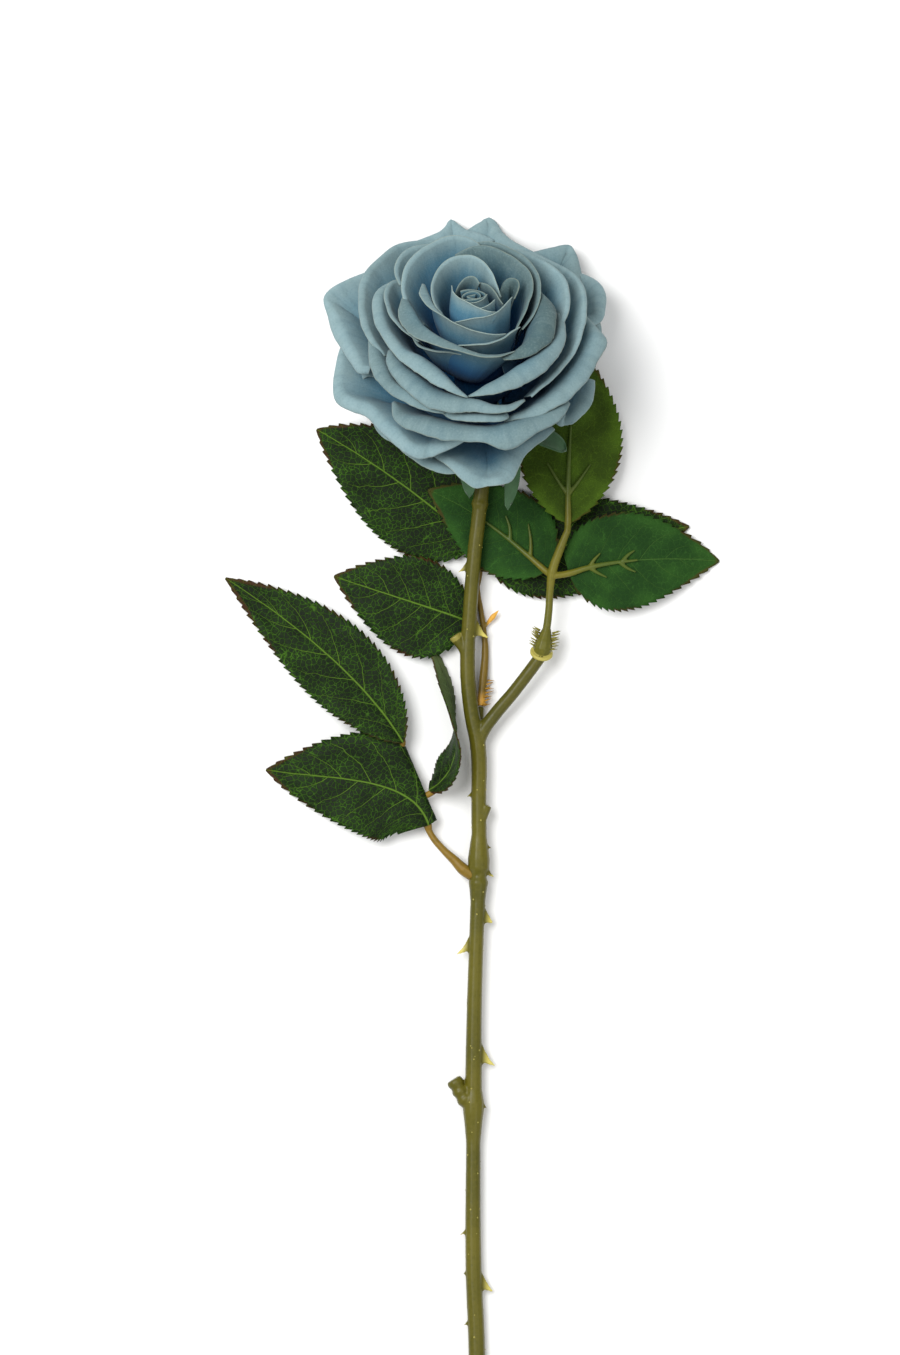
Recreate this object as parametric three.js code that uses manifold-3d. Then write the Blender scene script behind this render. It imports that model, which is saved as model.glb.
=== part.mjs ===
// A single cut rose of fabric and moulded plastic, laid on its back on a flat surface.
// Millimetres. The stem lies along +Y from its cut end to the flower, and +Z is up.
// The flower bends up off the stem, so that its heart faces the viewer who looks down.

import * as THREE from 'three';
import { mergeVertices } from 'three/addons/utils/BufferGeometryUtils.js';
import Module from 'manifold-3d';

const wasm = await Module();
wasm.setup();

// Driving dimensions of the rose
const gap = 0.3;
const leafThickness = 0.7;
const petalThickness = 0.8;
const stemRadius = 2.5;
const branchRadius = 2.1;
const leafTeeth = 12;
const toothDepth = 1.1;
const toothLead = 1.3;
const ribRadius = 0.8;
const spikeTip = 0.12;
const smoothing = 0.04;

// Where the flower sits and how far its axis rises off the surface
const flowerBase = new THREE.Vector3(1.4, 428.8, 17);
const flowerRise = THREE.MathUtils.degToRad(47);
const flowerLean = -0.055;
const coreHeight = 50;
const coreRadius = 16;
const cupHeight = 6;
const cupRadius = 6.2;
const neckLength = 2.2;

// The bloom's outline between its petals, from its root to its heart: distance from the axis, height
const coreProfile = [
  [0, 0.6],
  [6.5, 0.6],
  [11, 3.5],
  [coreRadius - 1, 10],
  [coreRadius, 18],
  [13, 30],
  [7.5, 42],
  [2, coreHeight],
  [0, coreHeight],
];

// The cup's outline, from its foot to the root of the bloom
const cupProfile = [
  [0, -cupHeight],
  [2.8, -cupHeight],
  [cupRadius, -3.4],
  [cupRadius, -0.6],
  [4.5, 0.2],
  [0, 0.2],
];

// The back petals bend flat where they lie on the surface, and are pressed a hair into it
const pressed = 0.05;

// Centre line of the main stem, from the cut end to the underside of the cup
const stemRoute = [
  [-0.2, 0, 2.4],
  [-0.2, 46, 2.6],
  [-0.5, 95, 3.0],
  [-1.6, 122, 3.4],
  [-1.7, 166, 4.0],
  [-1.6, 188, 4.3],
  [-1.4, 212, 4.7],
  [-0.6, 240, 5.2],
  [0.3, 265, 5.7],
  [0.3, 290, 6.1],
  [0.0, 310, 6.5],
  [-2.3, 322, 6.7],
  [-3.8, 339, 6.9],
  [-2.8, 359, 7.2],
  [-1.4, 378, 7.8],
  [0.2, 392, 8.2],
  [1.5, 405, 8.4],
  [1.9, 414, 8.5],
  [1.9, 419.3, 9.0],
];

// Side branch that leaves the main stem at the fork and carries the right-hand leaf stalk
const branchRoute = [
  [-0.4, 309, 6.5],
  [1.6, 315, 6.8],
  [5.4, 320.5, 7.2],
  [13.3, 330, 8.2],
  [22.2, 341.8, 9.2],
];

// Hooked thorns along the stem: place along the stem, side (-1 left, 1 right), length of the root, reach
const thorns = [
  { y: 249.5, side: 1, root: 6.4, reach: 3.8 },
  { y: 239.0, side: -1, root: 6.2, reach: 3.9 },
  { y: 199.5, side: 1, root: 7.2, reach: 4.2 },
  { y: 117.5, side: 1, root: 6.6, reach: 4.0 },
  { y: 375.0, side: -1, root: 4.0, reach: 2.9 },
  { y: 351.0, side: 1, root: 5.0, reach: 3.6 },
  { y: 136.0, side: -1, root: 3.4, reach: 1.7 },
  { y: 121.0, side: -1, root: 3.0, reach: 1.4 },
  { y: 103.0, side: -1, root: 3.0, reach: 1.4 },
  { y: 293.0, side: -1, root: 3.0, reach: 1.8 },
  { y: 289.0, side: 1, root: 6.0, reach: 2.6 },
  { y: 265.5, side: 1, root: 4.5, reach: 2.6 },
  { y: 182.0, side: 1, root: 5.5, reach: 2.4 },
  { y: 55.0, side: 1, root: 6.4, reach: 3.8 },
  { y: 28.0, side: -1, root: 6.0, reach: 3.6 },
];

// Swellings at the joints of the stem: place along the stem, length and radius
const swellings = [
  { y: 268.0, length: 22, radius: 3.7 },
  { y: 258.5, length: 4, radius: 3.2 },
  { y: 177.5, length: 9, radius: 3.9 },
  { y: 397.0, length: 5, radius: 3.1 },
];

// Materials
function finish(colour, roughness) {
  return new THREE.MeshStandardMaterial({ color: colour, roughness, metalness: 0 });
}
const stemFinish = finish(0x7a7a33, 0.45);
const stalkFinish = finish(0x8a7a35, 0.5);
const leafFinish = finish(0x1f4a1e, 0.6);
const petalFinish = finish(0x7ba2b0, 0.9);
const sepalFinish = finish(0x4f7a66, 0.85);

// Solids and meshes
function toSolid(geometry) {
  const shell = geometry.clone();
  shell.deleteAttribute('normal');
  shell.deleteAttribute('uv');
  const merged = mergeVertices(shell, 1e-4);
  return new wasm.Manifold(new wasm.Mesh({
    numProp: 3,
    vertProperties: new Float32Array(merged.attributes.position.array),
    triVerts: new Uint32Array(merged.index.array),
  }));
}

function toGeometry(solid) {
  const { vertProperties, triVerts } = solid.getMesh();
  const geometry = new THREE.BufferGeometry();
  geometry.setAttribute('position', new THREE.BufferAttribute(vertProperties, 3));
  geometry.setIndex(new THREE.BufferAttribute(triVerts, 1));
  geometry.computeVertexNormals();
  return geometry;
}

function fuse(solids) {
  return solids.reduce((whole, solid) => whole.add(solid));
}

// The outer skin of the largest body: loose scrap is dropped and sealed hollows are filled
function oneBody(solid) {
  return solid.simplify(smoothing).decompose().reduce((a, b) => (a.volume() > b.volume() ? a : b));
}

// Everything under the surface is cut off, which leaves small flats where the rose rests
function onTable(solid) {
  const under = new THREE.BoxGeometry(400, 1200, 60);
  under.translate(0, 250, -30);
  return solid.subtract(toSolid(under));
}

// A closed skin over rings of points, with each end closed by a fan
function loft(rings) {
  const sides = rings[0].length;
  const positions = rings.flat();
  const faces = [];
  rings.slice(1).forEach((ring, k) => {
    for (let i = 0; i < sides; i += 1) {
      const a = k * sides + i;
      const b = k * sides + (i + 1) % sides;
      faces.push(a, b, b + sides, a, b + sides, a + sides);
    }
  });
  [0, rings.length - 1].forEach((k) => {
    const middle = positions.length;
    const centre = new THREE.Vector3();
    rings[k].forEach((p) => centre.addScaledVector(p, 1 / sides));
    positions.push(centre);
    for (let i = 0; i < sides; i += 1) {
      const a = k * sides + i;
      const b = k * sides + (i + 1) % sides;
      faces.push(...(k === 0 ? [middle, b, a] : [middle, a, b]));
    }
  });
  const geometry = new THREE.BufferGeometry().setFromPoints(positions);
  geometry.setIndex(faces);
  return toSolid(geometry);
}

// A round limb along a curve, with a radius for each of its evenly spaced rings
function limb(curve, radii, sides) {
  const steps = radii.length - 1;
  const side = new THREE.Vector3();
  const rings = radii.map((radius, k) => {
    const centre = curve.getPointAt(k / steps);
    const tangent = curve.getTangentAt(k / steps);
    if (k === 0) {
      const steep = Math.abs(tangent.z) > 0.9;
      side.crossVectors(tangent, new THREE.Vector3(steep ? 1 : 0, 0, steep ? 0 : 1)).normalize();
    } else {
      side.addScaledVector(tangent, -side.dot(tangent)).normalize();
    }
    const up = new THREE.Vector3().crossVectors(tangent, side);
    return Array.from({ length: sides }, (_, i) => {
      const turn = (i + 0.5) / sides * 2 * Math.PI;
      return centre.clone()
        .addScaledVector(side, radius * Math.cos(turn))
        .addScaledVector(up, radius * Math.sin(turn));
    });
  });
  return loft(rings);
}

function smoothRoute(points) {
  return new THREE.CatmullRomCurve3(points.map((p) => new THREE.Vector3(...p)), false, 'centripetal');
}

function evenRadii(from, to, steps) {
  return Array.from({ length: steps + 1 }, (_, k) => THREE.MathUtils.lerp(from, to, k / steps));
}

// A short straight spike with its root sunk in
function spike(root, tip, radius, sides) {
  return limb(new THREE.LineCurve3(root, tip), [radius, spikeTip], sides);
}

// A thin closed blade over a grid of points. Both faces are split into triangles alike.
function blade(pointAt, rows, columns, thickness) {
  const at = (i, j) => pointAt(i / rows, 2 * j / columns - 1, i);
  const across = columns + 1;
  const top = [];
  const bottom = [];
  for (let i = 0; i <= rows; i += 1) {
    for (let j = 0; j <= columns; j += 1) {
      const along = at(Math.min(i + 1, rows), j).sub(at(Math.max(i - 1, 0), j));
      const sideways = at(i, Math.min(j + 1, columns)).sub(at(i, Math.max(j - 1, 0)));
      const normal = new THREE.Vector3().crossVectors(sideways, along).normalize();
      top.push(at(i, j).addScaledVector(normal, thickness / 2));
      bottom.push(at(i, j).addScaledVector(normal, -thickness / 2));
    }
  }
  const count = top.length;
  const faces = [];
  for (let i = 0; i < rows; i += 1) {
    for (let j = 0; j < columns; j += 1) {
      const a = i * across + j;
      const b = a + 1;
      const c = b + across;
      const d = a + across;
      faces.push(a, b, c, a, c, d);
      faces.push(count + a, count + c, count + b, count + a, count + d, count + c);
    }
  }
  const loop = [];
  for (let j = 0; j < columns; j += 1) loop.push(j);
  for (let i = 0; i < rows; i += 1) loop.push(i * across + columns);
  for (let j = columns; j > 0; j -= 1) loop.push(rows * across + j);
  for (let i = rows; i > 0; i -= 1) loop.push(i * across);
  loop.forEach((p, k) => {
    const q = loop[(k + 1) % loop.length];
    faces.push(q, p, count + p, q, count + p, count + q);
  });
  const geometry = new THREE.BufferGeometry().setFromPoints([...top, ...bottom]);
  geometry.setIndex(faces);
  return toSolid(geometry);
}

// Main stem
const flowerAxis = new THREE.Vector3(flowerLean, Math.cos(flowerRise), Math.sin(flowerRise)).normalize();
const flowerRight = new THREE.Vector3(1, 0, 0).addScaledVector(flowerAxis, -flowerAxis.x).normalize();
const flowerBack = new THREE.Vector3().crossVectors(flowerAxis, flowerRight);

// A point of the flower: height along its axis, and distances to its right and towards its back
function inFlower(right, back, height) {
  return flowerBase.clone()
    .addScaledVector(flowerRight, right)
    .addScaledVector(flowerBack, back)
    .addScaledVector(flowerAxis, height);
}

const stemCurve = smoothRoute([
  ...stemRoute,
  inFlower(0, 0, -cupHeight - neckLength).toArray(),
  inFlower(0, 0, -cupHeight - gap).toArray(),
]);
const branchCurve = smoothRoute(branchRoute);

// The stem's centre at a place along the stem
function stemAt(y) {
  const samples = stemCurve.getSpacedPoints(400);
  return samples.reduce((a, b) => (Math.abs(a.y - y) < Math.abs(b.y - y) ? a : b));
}

function stemPieces(extra) {
  const pieces = [
    limb(stemCurve, evenRadii(stemRadius + 0.2 + extra, stemRadius + extra, 46), 8),
    limb(branchCurve, evenRadii(branchRadius + 0.3 + extra, branchRadius + extra, 8), 8),
  ];
  swellings.forEach(({ y, length, radius }) => {
    const stretch = new THREE.LineCurve3(stemAt(y - length / 2), stemAt(y + length / 2));
    pieces.push(limb(stretch, [stemRadius, radius + extra, radius + extra, stemRadius], 8));
  });
  return pieces;
}

// A thorn like a small hooked tooth, broad along the stem and thin across it
function thorn({ y, side, root, reach }) {
  const centre = stemAt(y);
  const ring = (out, share, drop) => Array.from({ length: 6 }, (_, i) => {
    const turn = side * i / 6 * 2 * Math.PI;
    return new THREE.Vector3(
      centre.x + side * out,
      centre.y - drop + share * root / 2 * Math.cos(turn),
      centre.z + share * Math.sin(turn),
    );
  });
  return loft([
    ring(stemRadius - 1.2, 1, 0),
    ring(stemRadius + reach * 0.4, 0.5, root * 0.12),
    ring(stemRadius + reach, 0.06, root * 0.5),
  ]);
}

// The knob left where a side shoot was cut: three rings that step up to a ball
function cutShoot() {
  const foot = stemAt(181);
  const rings = smoothRoute([
    [foot.x - 1, foot.y, foot.z],
    [foot.x - 4.6, foot.y + 2.6, foot.z + 0.2],
    [foot.x - 7.4, foot.y + 5.6, foot.z + 0.4],
    [foot.x - 9.4, foot.y + 8.4, foot.z + 0.6],
  ]);
  return limb(rings, [2.0, 2.2, 1.7, 2.1, 1.7, 2.6, 2.9, 1.6], 7);
}

// The short stub beside the fork on which the rear leaf stalk is pushed
function stub() {
  return limb(smoothRoute([[-1.2, 314, 5.2], [0.4, 319, 4], [0.9, 324, 3.2]]), [1.6, 1.5, 1.4], 7);
}

// The short flap of bark where another shoot was cut, level with the rear leaf stalk
function shortShoot() {
  return limb(smoothRoute([[-5, 341, 7], [-7.6, 344.5, 7.6], [-9.2, 348.6, 8.2]]), [1.6, 1.4, 1.9], 7);
}

function makeStem() {
  const pieces = [...stemPieces(0), ...thorns.map(thorn), cutShoot(), stub(), shortShoot()];
  return oneBody(onTable(fuse(pieces)));
}

// What stands close to the stem is cut back from this slightly fatter copy of it
function makeStemRoom() {
  return fuse([...stemPieces(gap), ...thorns.map(thorn), cutShoot()]);
}

// Leaves. A leaf's midrib is a Bezier curve through four control points. Its width is across
// the widest place. fold lifts the margins and roll turns the blade about its midrib. Where
// face is -1 the leaf shows its back, and the moulded rib lies on top of it.
const widestPlace = 0.38;
const leaves = {
  leaf_a_left: {
    midrib: [[-21.6, 291.4, 5.6], [-33.5, 298.8, 8.4], [-53.3, 298.8, 6.5], [-76.3, 301.4, 0.5]],
    width: 38, fold: 0.12, roll: [0, 0], face: 1, ribReach: 0.3, spurs: [],
  },
  leaf_a_end: {
    midrib: [[-27, 311.5, 4.2], [-38.2, 330.1, 4], [-60.5, 349.9, 5], [-90.7, 370.4, 0.5]],
    width: 32, fold: 0.1, roll: [0, 0], face: 1, ribReach: 0.3, spurs: [],
  },
  leaf_a_right: {
    midrib: [[-17.2, 293.4, 6.5], [-5.4, 301, 8], [-6.2, 324, 12], [-15.1, 344.5, 12]],
    width: 21, fold: 0.2, roll: [1.0, 1.5], face: 1, ribReach: 0.3, spurs: [],
  },
  leaf_b_left: {
    midrib: [[-2.6, 354.6, 3.5], [-17.3, 360, 3.8], [-33.5, 364.7, 4.2], [-51.8, 371.1, 0.5]],
    width: 37, fold: 0.05, roll: [0, 0], face: 1, ribReach: 0.3, spurs: [],
  },
  leaf_b_up: {
    midrib: [[-2.2, 377.6, 2.4], [-13.7, 393.1, 1.4], [-38.9, 411.1, 2.8], [-58.1, 423.9, 0.5]],
    width: 35, fold: 0.01, roll: [0, 0], face: 1, ribReach: 0.25, spurs: [],
  },
  leaf_b_right: {
    midrib: [[2.8, 372.4, 3], [22.3, 376.9, 3.6], [51.1, 382.3, 4.4], [77, 388.8, 1]],
    width: 33, fold: 0.03, roll: [0, 0], face: 1, ribReach: 0.3, spurs: [],
  },
  leaf_c_left: {
    midrib: [[24.4, 372.9, 8.2], [13.3, 382.6, 4.4], [0.7, 394.4, 3.8], [-18, 402.1, 3.3]],
    width: 34, fold: -0.02, roll: [0, 0], face: -1, ribReach: 0.4,
    spurs: [{ at: 0.16, side: 1, length: 12 }, { at: 0.36, side: 1, length: 9 }],
  },
  leaf_c_right: {
    midrib: [[29.6, 370.4, 9.4], [43.9, 376.2, 10.5], [63.7, 379.8, 8], [86.8, 376.5, 0.5]],
    width: 35, fold: -0.08, roll: [0, 0], face: -1, ribReach: 0.55,
    spurs: [
      { at: 0.18, side: -1, length: 7 },
      { at: 0.18, side: 1, length: 8 },
      { at: 0.42, side: -1, length: 6 },
      { at: 0.4, side: 1, length: 7 },
    ],
  },
  leaf_c_end: {
    midrib: [[32.4, 390, 11], [32, 409.3, 11], [33.8, 434.5, 9], [35.6, 454.3, 5]],
    width: 37, fold: -0.06, roll: [0, 0], face: -1, ribReach: 0.55,
    spurs: [{ at: 0.17, side: -1, length: 13 }, { at: 0.17, side: 1, length: 13 }],
  },
};

// Half the width of a leaf at a place along its midrib, with a drawn-out tip
function halfWidth(leaf, s) {
  const swell = Math.sin(Math.PI * s ** (Math.log(0.5) / Math.log(widestPlace)));
  return Math.max(0.5, leaf.width / 2 * Math.max(0, swell) ** 0.8 * (1 - 0.2 * s ** 4));
}

function leafPoint(leaf, s, t) {
  const curve = new THREE.CubicBezierCurve3(...leaf.midrib.map((p) => new THREE.Vector3(...p)));
  const tangent = curve.getTangent(s);
  const flat = new THREE.Vector3().crossVectors(tangent, new THREE.Vector3(0, 0, 1)).normalize();
  const rise = new THREE.Vector3().crossVectors(flat, tangent);
  const roll = THREE.MathUtils.lerp(leaf.roll[0], leaf.roll[1], s);
  const side = flat.clone().multiplyScalar(Math.cos(roll)).addScaledVector(rise, Math.sin(roll));
  const normal = rise.clone().multiplyScalar(Math.cos(roll)).addScaledVector(flat, -Math.sin(roll));
  const out = t * halfWidth(leaf, s);
  const point = curve.getPoint(s)
    .addScaledVector(side, out)
    .addScaledVector(normal, leaf.fold * Math.abs(out));
  return { point, tangent, side, normal };
}

function leafBlade(leaf) {
  return blade((s, t, row) => {
    const { point, tangent, side } = leafPoint(leaf, s, t);
    if (Math.abs(t) === 1 && row % 2 === 1) {
      const grown = Math.min(1, halfWidth(leaf, s) / 6);
      point.addScaledVector(side, t * toothDepth * grown).addScaledVector(tangent, toothLead * grown);
    }
    return point;
  }, 2 * leafTeeth, 2, leafThickness);
}

// The rib and its spurs lie against the back of the blade, a hair clear of it
function ribPieces(leaf) {
  const depth = leafThickness / 2 + gap + ribRadius;
  const backOf = (s, t) => {
    const { point, normal } = leafPoint(leaf, s, t);
    return point.addScaledVector(normal, -leaf.face * depth);
  };
  const places = [0, 0.25, 0.5, 0.75, 1].map((k) => backOf(k * leaf.ribReach, 0));
  const rib = new THREE.CatmullRomCurve3(places);
  const pieces = [limb(rib, evenRadii(ribRadius, ribRadius * 0.6, 5), 6)];
  leaf.spurs.forEach(({ at, side, length }) => {
    const root = backOf(at, 0);
    const ahead = at + length * 0.8 / leaf.width * 0.62;
    const sideways = side * length * 0.6 / halfWidth(leaf, ahead);
    pieces.push(spike(root, backOf(ahead, sideways), ribRadius * 0.9, 5));
  });
  return pieces;
}

// The leaf stalks, each moulded in one with the ribs of its three leaves
function ribStart(leaf) {
  const { point, normal } = leafPoint(leaf, 0, 0);
  return point.addScaledVector(normal, -leaf.face * (leafThickness / 2 + gap + ribRadius));
}

// A stalk that carries its leaves on links from named places along it
function stalkPieces(route, radii, links) {
  const curve = smoothRoute(route);
  const pieces = [limb(curve, radii, 6)];
  links.forEach(({ leaf, from }) => {
    const start = curve.getPointAt(from);
    const end = ribStart(leaf);
    pieces.push(limb(new THREE.LineCurve3(start, end), [radii.at(-1), ribRadius], 6));
    pieces.push(...ribPieces(leaf));
  });
  return pieces;
}

// Stiff hairs round a socket, in rings that lean away from the stem
function hairs(centre, axis, radius, reach, rings, spacing) {
  const right = new THREE.Vector3().crossVectors(axis, new THREE.Vector3(0, 0, 1)).normalize();
  const up = new THREE.Vector3().crossVectors(right, axis);
  const pieces = [];
  for (let k = 0; k < rings; k += 1) {
    for (let i = 0; i < 6; i += 1) {
      const turn = (i + 0.5 * (k % 2)) / 6 * 2 * Math.PI;
      const out = right.clone().multiplyScalar(Math.cos(turn)).addScaledVector(up, Math.sin(turn));
      const foot = centre.clone().addScaledVector(axis, k * spacing).addScaledVector(out, radius - 1);
      const tip = foot.clone().addScaledVector(out, reach + 1).addScaledVector(axis, reach * 0.3);
      pieces.push(spike(foot, tip, 0.5, 3));
    }
  }
  return pieces;
}

function makeStalkA(stemRoom) {
  const route = [
    [-1.6, 263.2, 5.6],
    [-7.2, 266.4, 5.2],
    [-15.8, 277.6, 4.6],
    [-20.0, 287, 4.0],
    [-23.8, 300.6, 3.4],
    [-26.6, 308.5, 3.1],
  ];
  const links = [
    { leaf: leaves.leaf_a_left, from: 0.62 },
    { leaf: leaves.leaf_a_end, from: 1 },
    { leaf: leaves.leaf_a_right, from: 0.6 },
  ];
  const pieces = stalkPieces(route, [1.9, 1.7, 1.3, 1.2, 1.2, 1.1, 1.1, 1.0], links);
  return oneBody(onTable(fuse(pieces).subtract(stemRoom)));
}

function makeStalkB(stemRoom) {
  const route = [
    [0.95, 324.6, 3.2],
    [1.9, 334, 2.6],
    [2.6, 344.5, 2.0],
    [2.2, 351, 1.7],
    [1.1, 358.2, 1.5],
    [-0.2, 366, 1.4],
    [-0.9, 374.5, 1.4],
  ];
  const links = [
    { leaf: leaves.leaf_b_left, from: 0.52 },
    { leaf: leaves.leaf_b_up, from: 1 },
    { leaf: leaves.leaf_b_right, from: 0.86 },
  ];
  const start = new THREE.Vector3(...route[0]);
  const along = new THREE.Vector3(...route[1]).sub(start).normalize();
  const stipule = limb(smoothRoute([[2.2, 349, 1.8], [5, 355, 2.4], [7.4, 358.6, 2.8]]), [0.4, 1.5, 0.3], 6);
  const pieces = [
    ...stalkPieces(route, [1.9, 1.5, 1.3, 1.2, 1.2, 1.2, 1.2, 1.1, 1.0], links),
    ...hairs(start.addScaledVector(along, 2), along, 1.7, 1.7, 3, 2.2),
    stipule,
  ];
  return oneBody(onTable(fuse(pieces).subtract(stemRoom)));
}

function makeStalkC(stemRoom) {
  const route = [
    [22.75, 342.9, 9.25],
    [24.3, 350, 9.7],
    [25.4, 358, 10],
    [25.9, 366, 10.2],
    [26.8, 373, 10.6],
    [29.6, 381, 11.6],
    [32.2, 387.5, 12.4],
  ];
  const links = [
    { leaf: leaves.leaf_c_left, from: 0.62 },
    { leaf: leaves.leaf_c_end, from: 1 },
    { leaf: leaves.leaf_c_right, from: 0.62 },
  ];
  const start = new THREE.Vector3(...route[0]);
  const along = new THREE.Vector3(...route[1]).sub(start).normalize();
  const bulb = new THREE.LineCurve3(start, start.clone().addScaledVector(along, 10));
  const pieces = [
    ...stalkPieces(route, [1.5, 1.5, 1.3, 1.3, 1.5, 1.6, 1.5, 1.3, 1.2], links),
    limb(bulb, [3.1, 4.0, 3.7, 3.9, 3.2, 1.4], 9),
    ...hairs(start.clone().addScaledVector(along, 3.4), along, 3.4, 2.4, 3, 2.0),
  ];
  return oneBody(fuse(pieces).subtract(stemRoom));
}

// The flower. Each ring of petals has the height of its rims, how far each petal reaches round,
// how strongly its lip turns out, and its petals by the turn, distance and height of their tips.
// Turn 0 is at the flower's right, 90 at its back and -90 at its front.
const petalRings = [
  {
    width: 15, root: [2.5, 36], belly: 1.6, lip: -3.5, round: 0.2, hug: 0.9, twist: 0.9,
    petals: [[-100, 5.2, 62], [20, 4.4, 62.5], [140, 5.0, 62]],
  },
  {
    width: 27, root: [5, 22], belly: 1.0, lip: 1.5, round: 0.3, hug: 1.0, twist: 1.3,
    petals: [[-80, 14.5, 60], [-10, 15.5, 59], [42, 17.5, 59], [99, 20.5, 60], [160, 19, 58]],
  },
  {
    width: 38, root: [6, 16], belly: 1.0, lip: 2.5, round: 0.3, hug: 1.1, twist: 1.4,
    petals: [
      [-140, 26.5, 55], [-83, 25.5, 56], [-20, 25, 55], [40, 26, 56], [100, 32, 56.5], [160, 29, 55],
    ],
  },
  {
    width: 47, root: [7, 10], belly: 0.95, lip: 7, round: 0.3, hug: 1.2, twist: 1.5,
    petals: [
      [-176, 37, 49.5], [-121, 36.5, 51], [-54, 38.5, 50.5], [2, 33, 50], [65, 39, 49.5], [128, 39.5, 49.5],
    ],
  },
  {
    width: 48, root: [8, 7.5], belly: 0.85, lip: 10, round: 0.35, hug: 1.3, twist: 1.5,
    petals: [
      [-150, 41, 41], [-98, 42, 41.5], [-48, 40, 41], [8, 40.5, 42], [60, 45, 42], [110, 50, 42],
      [160, 45, 42],
    ],
  },
  {
    width: 46, root: [8, 5], belly: 0.7, lip: 12, round: 0.45, hug: 1.5, twist: 1.2,
    petals: [
      [-170, 51, 30], [-112, 46, 28], [-78, 48, 30], [-28, 43, 27], [32, 53, 34.5], [94, 58, 38],
      [130, 54, 38],
    ],
  },
  {
    width: 46, root: [7, 2.8], belly: 0.6, lip: 14, round: 0.6, hug: 1.7, twist: 0.8,
    petals: [
      [-145, 46, 22], [-88, 51, 16.5], [-54, 42, 21], [6, 48, 30], [54, 61, 34.5], [80, 68, 31],
      [108, 67, 31], [154, 60, 35.5],
    ],
  },
];

// Where a petal's middle line is, at a share of its length: distance from the axis, and height
function petalLine(ring, [, reach, height], share) {
  const [rootOut, rootUp] = ring.root;
  const line = new THREE.CubicBezierCurve(
    new THREE.Vector2(rootOut, rootUp),
    new THREE.Vector2(rootOut + (reach - rootOut) * ring.belly, rootUp + (height - rootUp) * 0.2),
    new THREE.Vector2(reach - ring.lip, height + ring.lip * 0.15),
    new THREE.Vector2(reach, height),
  );
  return line.getPoint(share);
}

function petalPoint(ring, petal, s, t) {
  const share = s * (1 - ring.round * Math.abs(t) ** 2.2);
  const line = petalLine(ring, petal, share);
  const spread = ring.width / 2 * (0.3 + 0.7 * Math.sin(Math.PI / 2 * Math.min(1, share * 1.5)));
  const wrap = Math.max(line.x, 4) * ring.hug;
  const turn = t * spread / wrap;
  const out = line.x - wrap * (1 - Math.cos(turn)) + ring.twist * t;
  const sideways = wrap * Math.sin(turn);
  const azimuth = THREE.MathUtils.degToRad(petal[0]);
  return inFlower(
    out * Math.cos(azimuth) - sideways * Math.sin(azimuth),
    out * Math.sin(azimuth) + sideways * Math.cos(azimuth),
    line.y,
  );
}

// A round body turned about the flower's axis
function turned(profile, sides) {
  const body = new THREE.LatheGeometry(profile.map(([r, h]) => new THREE.Vector2(r, h)), sides);
  body.rotateX(Math.PI / 2);
  const place = new THREE.Matrix4().makeBasis(flowerRight, flowerBack, flowerAxis).setPosition(flowerBase);
  body.applyMatrix4(place);
  return toSolid(body);
}

function makeBloom() {
  const petals = petalRings.flatMap((ring) => ring.petals.map((petal) => blade(
    (s, t) => {
      const point = petalPoint(ring, petal, s ** 0.7, t);
      point.z = Math.max(point.z, petalThickness / 2 - pressed);
      return point;
    },
    3,
    4,
    petalThickness,
  )));
  return oneBody(onTable(fuse([turned(coreProfile, 10), ...petals])));
}

// The cup under the flower with its five sepals, turned back along the stem
const sepals = [
  { turn: -72, length: 34, back: 0.72, width: 7.5 },
  { turn: -108, length: 27, back: 0.8, width: 6 },
  { turn: -22, length: 33, back: 0.35, width: 8 },
  { turn: 62, length: 28, back: 0.3, width: 7.5 },
  { turn: 150, length: 30, back: 0.35, width: 7.5 },
];

function sepalBlade({ turn, length, back, width }) {
  const azimuth = THREE.MathUtils.degToRad(turn);
  return blade((s, t) => {
    const out = cupRadius - 1.4 + length * s * (1 - back * s * 0.6);
    const height = -2.6 - length * back * s * s;
    const half = width / 2 * (1 - s ** 2.2 * 0.9);
    return inFlower(
      out * Math.cos(azimuth) - t * half * Math.sin(azimuth),
      out * Math.sin(azimuth) + t * half * Math.cos(azimuth),
      height + Math.abs(t) * 0.6,
    );
  }, 6, 2, leafThickness);
}

function makeCalyx() {
  return oneBody(onTable(fuse([turned(cupProfile, 12), ...sepals.map(sepalBlade)])));
}

// The rose
const rose = new THREE.Group();

function addNode(name, solid, material) {
  const mesh = new THREE.Mesh(toGeometry(solid), material);
  mesh.name = name;
  rose.add(mesh);
}

const stemRoom = makeStemRoom();
addNode('stem', makeStem(), stemFinish);
addNode('stalk_a', makeStalkA(stemRoom), stalkFinish);
addNode('stalk_b', makeStalkB(stemRoom), stalkFinish);
addNode('stalk_c', makeStalkC(stemRoom), stalkFinish);
Object.entries(leaves).forEach(([name, leaf]) => addNode(name, onTable(leafBlade(leaf)), leafFinish));
addNode('calyx', makeCalyx(), sepalFinish);
addNode('bloom', makeBloom(), petalFinish);

// The origin is on the surface, under the middle of the rose
const box = new THREE.Box3().setFromObject(rose);
const middle = box.getCenter(new THREE.Vector3());
rose.position.set(-middle.x, -middle.y, -box.min.z);

export default rose;
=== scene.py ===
# %% [markdown]
# # A cut rose of fabric and moulded plastic
#
# The object is one artificial rose: petals and leaves of heat-pressed cloth on a stem and stalks of
# moulded plastic. It lies on its back on a flat surface and the camera looks straight down on it.
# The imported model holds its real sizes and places. This lesson builds the surfaces that are seen over it,
# in metres, in the same frame.

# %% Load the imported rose
import math
import random

import bpy
from mathutils import Matrix, Vector, noise


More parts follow.
